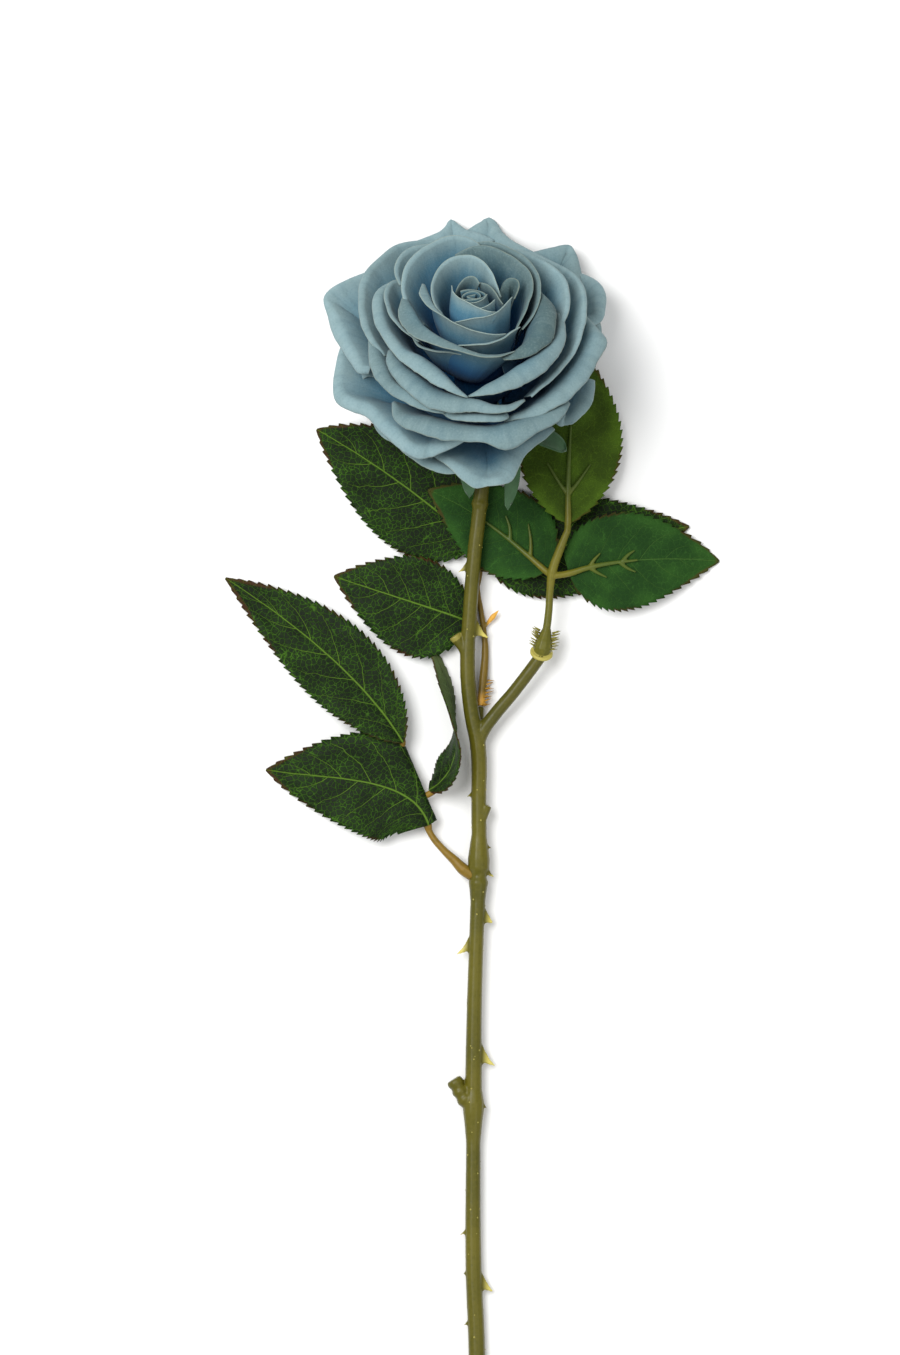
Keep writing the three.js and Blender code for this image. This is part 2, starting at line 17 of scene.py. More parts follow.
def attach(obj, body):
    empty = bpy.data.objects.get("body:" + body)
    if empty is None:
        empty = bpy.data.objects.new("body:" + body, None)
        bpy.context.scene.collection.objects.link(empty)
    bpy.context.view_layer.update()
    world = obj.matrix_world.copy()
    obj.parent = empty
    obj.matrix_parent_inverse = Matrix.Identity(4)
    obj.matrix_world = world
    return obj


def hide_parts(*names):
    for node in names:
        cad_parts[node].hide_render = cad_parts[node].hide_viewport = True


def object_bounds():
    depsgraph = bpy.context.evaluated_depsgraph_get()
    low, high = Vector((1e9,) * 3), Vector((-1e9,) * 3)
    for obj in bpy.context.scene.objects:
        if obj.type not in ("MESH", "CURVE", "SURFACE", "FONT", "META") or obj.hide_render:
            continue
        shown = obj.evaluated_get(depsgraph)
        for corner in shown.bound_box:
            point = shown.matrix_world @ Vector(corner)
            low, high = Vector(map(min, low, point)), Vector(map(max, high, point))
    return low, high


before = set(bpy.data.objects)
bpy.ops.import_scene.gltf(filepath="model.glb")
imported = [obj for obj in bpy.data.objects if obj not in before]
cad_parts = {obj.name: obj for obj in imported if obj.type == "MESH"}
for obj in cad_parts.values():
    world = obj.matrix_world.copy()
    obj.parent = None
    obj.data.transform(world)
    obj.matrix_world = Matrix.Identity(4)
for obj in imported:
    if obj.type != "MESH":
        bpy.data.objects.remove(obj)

cad_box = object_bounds()
print("nodes in the packed rose:", len(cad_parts))

# %% [markdown]
# ## One frame for every piece
#
# Sizes below are in millimetres, as on the maker's drawing. The drawing starts at the cut end of the stem,
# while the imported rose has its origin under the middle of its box. The low side of the box is the cut end,
# and its right side is the tip of the right-hand leaf, so those two give the shift between the two.

# %% Millimetres and the drawing's origin
MM = 0.001
RIGHT_LEAF_TIP = 86.98

SHIFT = Vector((cad_box[1].x - RIGHT_LEAF_TIP * MM, cad_box[0].y, 0))


def spot(x, y, z):
    """A place on the drawing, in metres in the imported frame."""
    return Vector((x, y, z)) * MM + SHIFT


print("drawing's origin in the frame:", [round(v, 5) for v in SHIFT])

# %% [markdown]
# ## Small helpers for modelling
#
# Operators act on everything that is selected, so each step starts with nothing selected. A finished piece
# rides on the rose's one body, takes its finishes, and says which imported solids it stands for.

# %% Selecting, joining and handing over a piece
def deselect():
    for item in bpy.context.selected_objects:
        item.select_set(False)


def take(*items):
    """Selects these objects alone, and makes the first one active."""
    deselect()
    for item in items:
        item.select_set(True)
    bpy.context.view_layer.objects.active = items[0]


def join(name, items):
    take(*items)
    if len(items) > 1:
        bpy.ops.object.join()
    piece = bpy.context.object
    piece.name = name
    piece.data.name = name
    return piece


def apply_modifier(piece, kind, **settings):
    take(piece)
    modifier = piece.modifiers.new(kind.lower(), kind)
    for name, value in settings.items():
        setattr(modifier, name, value)
    bpy.ops.object.modifier_apply(modifier=modifier.name)


def keep_up(piece):
    """Keeps every point of the piece on or above the surface."""
    for vertex in piece.data.vertices:
        vertex.co.z = max(vertex.co.z, 0)


def hand_over(piece, finishes, slot, *nodes):
    if not piece.data.materials:
        for finish in finishes:
            piece.data.materials.append(finish.material)
    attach(piece, "root")
    if nodes:
        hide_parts(*nodes)
    piece.data.calc_loop_triangles()
    print(piece.name, "triangles:", len(piece.data.loop_triangles))


deselect()
print("selected now:", len(bpy.context.selected_objects))

# %% [markdown]
# ## Writing shader maths as Python
#
# A finish is a node tree. Wrapping a socket in a small class lets a sum such as `1 - mask` add its own Math
# node, so that a pattern reads like the formula that it is.

# %% A value in a finish, and the finish itself
class Value:
    """One output socket of a finish that arithmetic works on."""

    def __init__(self, finish, socket):
        self.finish = finish
        self.socket = socket

    def maths(self, operation, *values):
        return self.finish.node("ShaderNodeMath", {"operation": operation}, dict(enumerate(values)))

    def __add__(self, other):
        return self.maths("ADD", self, other)

    def __radd__(self, other):
        return self.maths("ADD", other, self)

    def __sub__(self, other):
        return self.maths("SUBTRACT", self, other)

    def __rsub__(self, other):
        return self.maths("SUBTRACT", other, self)

    def __mul__(self, other):
        return self.maths("MULTIPLY", self, other)

    def __rmul__(self, other):
        return self.maths("MULTIPLY", other, self)

    def __pow__(self, other):
        return self.maths("POWER", self, other)

    def __abs__(self):
        return self.maths("ABSOLUTE", self)


class Finish:
    """A material on one Principled shader, with its constants set on the shader's own sockets."""

    def __init__(self, name, **constants):
        self.material = bpy.data.materials.new(name)
        self.material.use_nodes = True
        self.tree = self.material.node_tree
        self.shader = self.tree.nodes["Principled BSDF"]
        for socket, value in constants.items():
            self.shader.inputs[socket.replace("_", " ")].default_value = value

    def node(self, kind, settings=None, values=None, output=0):
        node = self.tree.nodes.new(kind)
        for name, setting in (settings or {}).items():
            setattr(node, name, setting)
        for name, value in (values or {}).items():
            self.join(value, node.inputs[name])
        return Value(self, node.outputs[output])

    def join(self, value, socket):
        if isinstance(value, Value):
            self.tree.links.new(value.socket, socket)
        else:
            socket.default_value = value

    def feed(self, socket, value):
        self.join(value, self.shader.inputs[socket])

    def attribute(self, name):
        return self.node("ShaderNodeAttribute", {"attribute_name": name}, output=2)

    def uv(self, name, scale=1):
        vector = self.node("ShaderNodeUVMap", {"uv_map": name})
        return self.node("ShaderNodeVectorMath", {"operation": "SCALE"}, {0: vector, "Scale": scale})

    def place(self, scale):
        """Object coordinates in units of 1 / scale metres."""
        vector = self.node("ShaderNodeTexCoord", output=3)
        return self.node("ShaderNodeVectorMath", {"operation": "SCALE"}, {0: vector, "Scale": scale})

    def part(self, vector, axis):
        return self.node("ShaderNodeSeparateXYZ", None, {0: vector}, output=axis)

    def cloud(self, vector, detail=2):
        return self.node("ShaderNodeTexNoise", None, {"Vector": vector, "Scale": 1, "Detail": detail})

    def fade(self, value, start, end):
        """Rises smoothly from 0 at start to 1 at end."""
        settings = {"interpolation_type": "SMOOTHSTEP"}
        return self.node("ShaderNodeMapRange", settings, {"Value": value, "From Min": start, "From Max": end})

    def mix(self, share, first, second):
        return self.node("ShaderNodeMix", {"data_type": "RGBA"}, {0: share, 6: first, 7: second}, output=2)

    def bump(self, height, distance, strength=1.0):
        values = {"Height": height, "Distance": distance, "Strength": strength}
        self.feed("Normal", self.node("ShaderNodeBump", None, values))


def colour(red, green, blue):
    """A screen colour, 0 to 255, as the linear colour that a shader takes."""
    steps = [channel / 255 for channel in (red, green, blue)]
    return (*(step / 12.92 if step < 0.04 else ((step + 0.055) / 1.055) ** 2.4 for step in steps), 1)


print("mid grey as a shader takes it:", [round(v, 3) for v in colour(128, 128, 128)])

# %% [markdown]
# ## Petal cloth
#
# The petals are a fine woven cloth, dyed dusty blue and pressed hot. Light comes back from their rims pale
# and greyish. The cloth is dyed deeper towards the root, and the darkest blue there is also painted shade of
# the deep recesses between the petals. Paint or an image could show that, but a formula follows each petal
# by itself: mesh attributes carry how far up a petal a point is, how near it is to the cut edge, where the
# cloth frays to a pale greenish thread, and how grey the whole petal is, a grey that is partly the cloth's
# own tint and partly painted shade of the inner and front petals. Creases run up the petal, so their noise
# is stretched along it, and their crests get a painted highlight and their folds a painted shade.

# %% Petal finish
# The root colour is cloth dyed deeper and also painted shade of the recesses between the petals.
ROOT_BLUE_AND_SHADE = colour(16, 78, 122)
CLOTH_BLUE = colour(82, 126, 144)
LIP_BLUE = colour(130, 154, 158)
GREY_TINT_AND_SHADE = colour(62, 82, 82)
# This grey is partly the cloth's own tint and partly painted shade.
WORN_TONE = colour(118, 138, 134)
# Painted highlight on the crests of creases, and painted shade in their folds.
PAINTED_CREASE_HIGHLIGHT = colour(150, 172, 174)
PAINTED_CREASE_SHADE = colour(62, 92, 104)
FRAYED_THREAD = colour(146, 154, 136)
GRAIN_LIGHT = colour(154, 174, 176)
GRAIN_DARK = colour(48, 76, 88)
CREASE_STRETCH = (0.4, 0.05, 1)
PETAL_SHEEN = {"Roughness": 0.95, "Specular_IOR_Level": 0.08, "Sheen_Weight": 0.06, "Sheen_Roughness": 0.5}


def weave(finish, cloth, threads):
    """The height of a plain weave, threads to the millimetre."""
    across = finish.part(cloth, 0) * (math.tau * threads / 2)
    along = finish.part(cloth, 1) * (math.tau * threads / 2)
    return across.maths("SINE", across) * along.maths("SINE", along)


def petal_finish():
    finish = Finish("petal_cloth", **PETAL_SHEEN)
    rise = finish.attribute("rise")
    edge = finish.attribute("edge")
    grey_and_shade = finish.attribute("grey_and_shade")
    blotch = finish.cloud(finish.place(260), 3)
    streak = finish.cloud(finish.place(70), 2)
    grain = finish.cloud(finish.place(1500), 3)
    values = {0: finish.uv("cloth"), 1: CREASE_STRETCH}
    crease = finish.cloud(finish.node("ShaderNodeVectorMath", {"operation": "MULTIPLY"}, values), 3)
    drift = (streak - 0.5) * 0.35
    near_rim = finish.fade(rise, 0.55, 0.95)
    # Darker towards the root: cloth dyed deeper, and the darkest blue is also painted shade of the recesses.
    body = finish.mix(finish.fade(rise + drift * 0.3, 0.4, 0.95), ROOT_BLUE_AND_SHADE, CLOTH_BLUE)
    body = finish.mix(finish.fade(rise + drift * 0.3, 0.78, 1.0), body, LIP_BLUE)
    # Greyer near the rim by each petal's grey, partly the cloth's own grey-green tint and partly painted
    # shade on inner and front petals.
    body = finish.mix(finish.fade(grey_and_shade + drift, 0, 1.3) * 0.85 * near_rim, body, GREY_TINT_AND_SHADE)
    body = finish.mix(finish.fade(blotch, 0.4, 0.8) * 0.2 * near_rim, body, WORN_TONE)
    # Crests of the creases get a painted highlight and their folds a painted shade.
    body = finish.mix(finish.fade(crease, 0.5, 0.75) * near_rim * 0.14, body, PAINTED_CREASE_HIGHLIGHT)
    body = finish.mix(finish.fade(0.5 - crease, 0.0, 0.25) * 0.18, body, PAINTED_CREASE_SHADE)
    frayed = 1 - finish.fade(edge + (blotch - 0.5) * 0.9, 0.0, 0.45)
    body = finish.mix(frayed * 0.4, body, FRAYED_THREAD)
    body = finish.mix(finish.fade(grain, 0.52, 0.75) * near_rim * 0.16, body, GRAIN_LIGHT)
    body = finish.mix(finish.fade(0.5 - grain, 0.0, 0.25) * 0.16, body, GRAIN_DARK)
    finish.feed("Base Color", body)
    threads = weave(finish, finish.uv("cloth"), 2)
    finish.bump(threads * 0.2 + grain + blotch * 2 + crease * 2, 0.0001, 0.5)
    return finish


petal_cloth = petal_finish()
print("finish:", petal_cloth.material.name)

# %% [markdown]
# ## The flower's own frame
#
# The flower bends up off the stem. Its petals are easiest to place round its own axis: distances to its
# right and towards its back, and height along the axis.

# %% Flower frame
FLOWER_BASE = Vector((1.4, 428.8, 17.0))
FLOWER_RISE = math.radians(47)
FLOWER_LEAN = -0.055

flower_axis = Vector((FLOWER_LEAN, math.cos(FLOWER_RISE), math.sin(FLOWER_RISE))).normalized()
flower_right = (Vector((1, 0, 0)) - flower_axis * flower_axis.x).normalized()
flower_back = flower_axis.cross(flower_right)


def in_flower(right, back, height):
    """A place of the flower, in drawing millimetres."""
    return FLOWER_BASE + flower_right * right + flower_back * back + flower_axis * height


print("flower axis:", [round(v, 3) for v in flower_axis])

# %% [markdown]
# ## How one petal is shaped
#
# A real petal is cut flat, pressed into a cup, and its rim is rolled outwards over a hot iron. What the eye
# follows is the crest, the line where the cloth turns over. So each petal here is drawn by its crest: a few
# points as seen from above, each with its height along the flower's axis and the width of the lip that is
# rolled out past it. A smooth line goes through the points. From the root a wall of cloth rises to that
# line, and past it the lip turns round a small cylinder.

# %% Reading points as seen from above
PICTURE_MIDDLE = 450

from_above = Matrix(((flower_right.x, flower_back.x), (flower_right.y, flower_back.y))).inverted()


def seen_at(x, y, height, lip=1.0):
    """A crest point: right, back and height in the flower's frame, and the width of the lip there."""
    level = FLOWER_BASE + flower_axis * height
    right, back = from_above @ Vector((x - level.x, PICTURE_MIDDLE + y - level.y))
    return Vector((right, back, height, lip))


def smooth_line(points, count):
    """Evenly spaced points on a smooth line through these, by the centripetal Catmull-Rom rule."""
    points = [points[0] * 2 - points[1], *points, points[-1] * 2 - points[-2]]
    dense = []
    for a, b, c, d in zip(points, points[1:], points[2:], points[3:]):
        knots = [0]
        for before, after in ((a, b), (b, c), (c, d)):
            knots.append(knots[-1] + max(0.01, (after.xyz - before.xyz).length) ** 0.5)
        for k in range(12):
            at = knots[1] + (knots[2] - knots[1]) * k / 12
            ab = a.lerp(b, (at - knots[0]) / (knots[1] - knots[0]))
            bc = b.lerp(c, (at - knots[1]) / (knots[2] - knots[1]))
            cd = c.lerp(d, (at - knots[2]) / (knots[3] - knots[2]))
            near = ab.lerp(bc, (at - knots[0]) / (knots[2] - knots[0]))
            far = bc.lerp(cd, (at - knots[1]) / (knots[3] - knots[1]))
            dense.append(near.lerp(far, (at - knots[1]) / (knots[2] - knots[1])))
    dense.append(points[-2])
    lengths = [0]
    for before, after in zip(dense, dense[1:]):
        lengths.append(lengths[-1] + (after.xyz - before.xyz).length)
    line, k = [], 1
    for i in range(count + 1):
        along = lengths[-1] * i / count
        while k < len(dense) - 1 and lengths[k] < along:
            k += 1
        share = (along - lengths[k - 1]) / max(0.001, lengths[k] - lengths[k - 1])
        line.append(dense[k - 1].lerp(dense[k], share))
    return line, lengths[-1]


print("a crest point in the flower's frame:", [round(v, 1) for v in seen_at(0, 0, 50)])

# %% [markdown]
# ## Sheets of cloth
#
# Every petal, leaf and sepal starts as a plain grid and is bent into place point by point. Its points keep
# numbers for the finish to read, and a map of the flat cut cloth keeps the weave at one size. A petal that
# would sink through the surface is pressed flat on it instead.

# %% Grids, maps and marks
SOFT_FLOOR = 2.0
LEAST_HEIGHT = 0.5
PRESSED_OVER = 3.0


def add_grid(columns, rows):
    deselect()
    bpy.ops.mesh.primitive_grid_add(x_subdivisions=columns, y_subdivisions=rows, size=2)
    return bpy.context.object


def mark(piece, name, numbers):
    """Keeps a number for each point of a mesh, for its finish to read."""
    layer = piece.data.attributes.new(name, "FLOAT", "POINT")
    layer.data.foreach_set("value", numbers)


def lay_cloth(piece, places):
    """Gives the mesh a map of the flat cut cloth, in millimetres."""
    layer = piece.data.uv_layers[0]
    layer.name = "cloth"
    for loop in piece.data.loops:
        layer.data[loop.index].uv = places[loop.vertex_index]


def bezier(handles, share):
    a, b, c, d = map(Vector, handles)
    rest = 1 - share
    return a * rest**3 + b * (3 * rest**2 * share) + c * (3 * rest * share**2) + d * share**3


def press_down(z):
    """Cloth that would reach the surface lies flat on it, layer on layer."""
    if z > SOFT_FLOOR:
        return z
    return LEAST_HEIGHT + (SOFT_FLOOR - LEAST_HEIGHT) * math.exp((z - SOFT_FLOOR) / PRESSED_OVER)


print("pressed cloth keeps", LEAST_HEIGHT, "mm off the surface")

# %% [markdown]
# ## Wall and lip
#
# The root of a petal is narrower than its crest, so each line of the wall starts on a short arc round the
# axis. It leaves the root at the ring's opening angle, and meets the crest at its leaning angle. On petals
# seen from inside, the crest is drawn at the outline, and the roll starts a little before it.

# %% One line across a petal
ROOT_SPREAD = 0.5
ROOT_HANDLE = 0.42
CURVED_LENGTH = 1.08


class Rib:
    """One line across a petal, from its root over the crest to the cut edge."""

    def __init__(self, shape, point, along, outwards, middle):
        here = point.xyz
        lean, start = math.radians(shape["lean"]), math.radians(shape["opens"])
        radial = Vector((here.x, here.y, 0)).normalized()
        inner = Vector((0, 0, math.sin(lean))) - radial * math.cos(lean)
        self.out = along.cross(inner).normalized() * outwards
        self.inner = self.out.cross(along).normalized() * outwards
        self.bend, self.lip = math.radians(shape["bend"]), max(0.3, point.w)
        self.curl = min(shape["curl"], self.lip / self.bend)
        if shape["inside"]:
            here = here - self.out * self.overhang()
        turn = (math.atan2(here.y, here.x) - middle + math.pi) % math.tau - math.pi
        azimuth = middle + turn * ROOT_SPREAD
        away = Vector((math.cos(azimuth), math.sin(azimuth), 0))
        root = away * shape["root"][0] + Vector((0, 0, shape["root"][1]))
        size = (here - root).length
        leave = away * math.sin(start) + Vector((0, 0, math.cos(start)))
        arrive = (self.out + radial * math.sin(lean) + Vector((0, 0, math.cos(lean)))) / 2
        self.handles = (root, root + leave * size * ROOT_HANDLE, here - arrive * size * shape["hold"], here)
        self.length = size * CURVED_LENGTH

    def wall(self, share):
        return bezier(self.handles, share)

    def turned_by(self, past):
        """How the roll carries the cloth from the crest, at a length past it."""
        turned = min(past / self.curl, self.bend)
        straight = past - turned * self.curl
        forward = self.curl * math.sin(turned) + straight * math.cos(self.bend)
        drop = self.curl * (1 - math.cos(turned)) + straight * math.sin(self.bend)
        return self.out * forward - self.inner * drop

    def overhang(self):
        """How far the roll is seen to reach past the crest, from above."""
        outline = (in_flower(*self.out) - FLOWER_BASE).xy
        seen = [(in_flower(*self.turned_by(self.lip * k / 8)) - FLOWER_BASE).xy for k in range(9)]
        return max(point.dot(outline) for point in seen) / max(0.2, outline.length_squared)

    def roll(self, past):
        return self.handles[3] + self.turned_by(past)


print("the root's arc is", ROOT_SPREAD, "of the crest's")

# %% [markdown]
# ## A whole petal
#
# The grid's columns are set on these lines, side by side. Noise then ripples the cloth, least at the root,
# and makes the cut edge a little ragged.

# %% One petal
PETAL_COLUMNS = 44
WALL_ROWS = 15
LIP_ROWS = 10
CLOTH = 0.35
RIPPLE_LENGTH = 13
RIPPLE_HEIGHT = 1.6
CRINKLE_LENGTH = 5


def petal_ribs(shape, crest):
    line, length = smooth_line([seen_at(*point) for point in crest], PETAL_COLUMNS)
    heading = sum((Vector((point.x, point.y)).normalized() for point in line), Vector((0, 0)))
    middle = math.atan2(heading.y, heading.x)
    nearby = [(line[max(i - 1, 0)], line[min(i + 1, PETAL_COLUMNS)]) for i in range(len(line))]
    ahead = [(after - before).xyz.normalized() for before, after in nearby]
    lean = math.radians(shape["lean"])
    outwards = 0
    for point, along in zip(line, ahead):
        radial = Vector((point.x, point.y, 0)).normalized()
        outwards += along.cross(Vector((0, 0, math.sin(lean))) - radial * math.cos(lean)).dot(radial)
    outwards = 1 if outwards > 0 else -1
    return [Rib(shape, point, along, outwards, middle) for point, along in zip(line, ahead)], length


def petal(shape, k, seed):
    """Petal number k of a ring. The seed sets its ripples, its ragged edge and a small change of its grey
    tint and painted shade.
    """
    ribs, length = petal_ribs(shape, shape["petals"][k])
    chance = random.Random(seed)
    phase = chance.uniform(0, 50)
    grey_and_shade = shape["greys_and_shades"][k] + chance.uniform(-0.1, 0.1)
    piece = add_grid(PETAL_COLUMNS, WALL_ROWS + LIP_ROWS)
    flat, rises, edges = [], [], []
    for vertex in piece.data.vertices:
        column = round((vertex.co.x + 1) / 2 * PETAL_COLUMNS)
        row = round((vertex.co.y + 1) / 2 * (WALL_ROWS + LIP_ROWS))
        rib = ribs[column]
        along = length * column / PETAL_COLUMNS
        slow, quick = noise.noise(Vector((along / 6, phase, 1))), noise.noise(Vector((along, phase, 2)))
        ragged = 1 + 0.07 * slow + 0.04 * quick
        if row <= WALL_ROWS:
            share = row / WALL_ROWS
            place = rib.wall(share)
            past = 0
        else:
            share = 1
            past = rib.lip * ragged * (row - WALL_ROWS) / LIP_ROWS
            place = rib.roll(past)
        ripple = noise.noise(place / RIPPLE_LENGTH + Vector((phase, 0, 0))) * RIPPLE_HEIGHT
        ripple += noise.noise(place / CRINKLE_LENGTH + Vector((phase, 0, 9)))
        place += rib.inner * ripple * shape["wave"] * share**2
        place = in_flower(*place)
        vertex.co = spot(place.x, place.y, press_down(place.z))
        flat.append((along, share * rib.length + past))
        risen = (share * rib.length + past) / (rib.length + rib.lip)
        # Low rises take the darker root colour, which is cloth dyed deeper with painted shade.
        rises.append(1 - (1 - risen) * shape["dye_and_shade"])
        to_crest = rib.lip * ragged - past + (1 - share) * rib.length
        edges.append(min(to_crest, along + 0.2, length - along + 0.2))
    lay_cloth(piece, flat)
    mark(piece, "rise", rises)
    mark(piece, "edge", edges)
    mark(piece, "grey_and_shade", [grey_and_shade] * len(flat))
    return piece


print("a petal has", PETAL_COLUMNS, "columns and", WALL_ROWS + LIP_ROWS, "rows")

# %% [markdown]
# ## Rings of petals
#
# From the heart outwards the petals get wider, lean out and roll further. A ring names where its roots
# sit, how they open and lean, how long the wall holds that lean below the crest, how tightly the rim is
# rolled and how far it bends, how strongly the cloth ripples, how far up the darker root colour climbs,
# which is cloth dyed deeper with painted shade of the recesses, and how grey each petal is, partly by
# the cloth's own tint and partly as painted shade. Each petal is then the list of its crest points:
# across, up, height along the axis, and lip. A loop over one master petal would be shorter, but no two
# petals of a full rose are alike.

# %% Bud and inner rings
# A petal's grey is partly the cloth's own tint and partly painted shade.
BUD = {
    "name": "petals_bud", "root": (6, 47), "opens": 50, "lean": 5, "hold": 0.3, "curl": 0.8, "bend": 35,
    "inside": False, "wave": 0.12, "dye_and_shade": 0.6, "greys_and_shades": [0.5, 0.3, 0.2, 0.9, 0.8],
    "petals": [
        [
            (-4.6, 18.9, 60.5, 0.4), (-2, 18.6, 61, 0.5), (0.4, 19.2, 61.3, 0.5), (2, 20.2, 61.3, 0.5),
            (3.1, 21.8, 61.3, 0.4),
        ],
        [
            (-5, 18.4, 60, 0.5), (-2, 17.5, 60.8, 0.6), (1, 16.7, 61.2, 0.6), (3.6, 17.8, 61.4, 0.6),
            (5.9, 19.8, 61.2, 0.4),
        ],
        [
            (-9.4, 24.7, 60, 0.5), (-9, 22.6, 61, 0.6), (-7, 20.5, 61.8, 0.7), (-4, 19, 62, 0.7),
            (0, 16.9, 62, 0.7), (4, 15.2, 61.6, 0.7), (7, 15, 60.5, 0.5),
        ],
        [
            (-8, 22, 58.5, 0.4), (-6.6, 25.2, 61, 0.5), (-4, 27.6, 62.6, 0.6), (-1.5, 27.7, 62.6, 0.6),
            (0.3, 25.5, 61.5, 0.5),
        ],
        [
            (0, 26, 60.5, 0.5), (3.5, 24.8, 61.5, 0.6), (6, 22.3, 61, 0.6), (7.6, 19.8, 60, 0.6),
            (9, 18.2, 59, 0.5),
        ],
    ],
}
INNER = {
    "name": "petals_inner", "root": (8, 36), "opens": 48, "lean": 16, "hold": 0.35, "curl": 1.4, "bend": 55,
    "inside": False, "wave": 0.2, "dye_and_shade": 0.65, "greys_and_shades": [0.3, 0.5, 0.25, 1.2],
    "petals": [
        [
            (-8.5, 11.7, 58, 0.5), (-3, 12.9, 60, 0.8), (2, 13.5, 61, 0.9), (6, 14.8, 61, 0.9),
            (9, 17.4, 60, 0.9), (12.1, 20.6, 58.5, 0.6),
        ],
        [
            (-19, 25.3, 56.5, 1.5), (-17.3, 21.5, 57, 4.4), (-15.7, 18, 57.5, 3.6), (-13, 14.6, 58, 1.4),
            (-8, 11.2, 58.5, 0.8), (0, 8.5, 59, 0.8), (6, 7.3, 58.5, 0.8), (10, 7.4, 57.5, 0.5),
        ],
        [
            (-12.3, 14.3, 56, 0.8), (-15, 18.5, 58, 1), (-16, 23, 60, 1.2), (-15, 27.5, 61, 1.3),
            (-12, 32, 62, 1.4), (-7.5, 34.5, 62.5, 1.4), (-2.5, 34.7, 62.5, 1.4), (1, 33, 62, 1.3),
            (4, 29.5, 61.5, 1.2), (6, 25, 60, 1), (8, 20.5, 58, 0.8),
        ],
        [
            (7.3, 20.8, 56.5, 0.6), (8.9, 25, 57.5, 0.9), (11.3, 26.6, 58, 1.2), (13.6, 26.2, 57.5, 1.2),
            (14, 24.3, 56.5, 1), (12.6, 20.3, 55.5, 0.6),
        ],
    ],
}
SECOND = {
    "name": "petals_second", "root": (9, 27), "opens": 52, "lean": 28, "hold": 0.35, "curl": 2.0, "bend": 75,
    "inside": False, "wave": 0.25, "dye_and_shade": 0.9, "greys_and_shades": [0.3, 0.9, 0.85, 0.4, 0.85, 0.6, 0.4, 0.45],
    "petals": [
        [
            (-19.3, 11, 50, 0.8), (-23, 15.5, 52, 1.2), (-25.6, 20.5, 54, 1.5), (-26, 26, 56, 1.8),
            (-24, 32, 57, 2), (-20, 36.4, 57.2, 2), (-15, 39.4, 57.2, 2), (-10.5, 41.4, 57, 2),
            (-6, 41.5, 56.5, 1.8), (-2, 40.3, 55.5, 1.5), (1, 38.5, 54, 1),
        ],
        [
            (-8, 35.6, 55, 0.8), (-4, 37.5, 56.5, 1), (0, 38.5, 57, 1.2), (5, 37.9, 57.5, 1.3),
            (10, 35.6, 57.5, 1.3), (14.5, 32.6, 57.5, 1.3), (17.8, 29, 57, 1.2), (18.8, 24.5, 56, 1.2),
            (18, 19.5, 55, 1), (16, 14.5, 54, 1), (13.5, 9.5, 52, 0.8),
        ],
        [
            (-3, 39.5, 53.5, 0.8), (2, 40.2, 54.5, 1), (7, 39.3, 55.5, 1.4), (12, 36.8, 56, 1.6),
            (17, 33.5, 56, 1.6), (20.3, 29, 55.5, 1.5), (21.4, 23.5, 54.5, 1.4), (21, 18.5, 53.5, 1.2),
            (19, 14, 52.5, 1), (15.5, 9.5, 50, 0.8),
        ],
        [
            (-7, 3.3, 55.5, 0.8), (-2, 3.7, 56.5, 1.1), (3, 4.4, 57, 1.2), (8, 5.9, 57, 1.1),
            (12, 8.2, 56.5, 1), (14.8, 10, 55.5, 0.6),
        ],
        [
            (-26, 21.5, 53, 1), (-22.8, 16, 54, 7), (-19.5, 10.8, 55, 7), (-14, 6.3, 56, 5.2),
            (-9, 3.8, 56.5, 3.8), (-4, 1.9, 56.5, 3), (1, 0.2, 56, 2.4), (6, -0.1, 55.5, 1.8),
            (10, 0.5, 54.5, 1.3), (13.3, 1.5, 53.5, 0.6),
        ],
        [
            (-23.8, 10, 49, 0.8), (-22.7, 6.5, 49.5, 1.2), (-20.5, 3.6, 50, 1.4), (-16, 2, 50, 1.4),
            (-11, 1.2, 50, 1.2), (-5, 0.3, 50, 0.8),
        ],
        [
            (-14, 39, 52, 1), (-19, 38.6, 53, 1.6), (-24, 37, 53, 2), (-27.6, 33.5, 52.5, 2),
            (-28.4, 29.5, 51.5, 1.6), (-27.3, 25.5, 50, 1),
        ],
        [
            (-26, 26.5, 49, 1), (-30.3, 25.6, 50, 1.6), (-32, 21.5, 50.5, 2), (-31.4, 17, 51, 2),
            (-29, 12.5, 51, 1.6), (-25.5, 8.8, 51, 1.2), (-21, 5, 50, 0.8),
        ],
    ],
}
print("inner petals:", sum(len(ring["petals"]) for ring in (BUD, INNER, SECOND)))

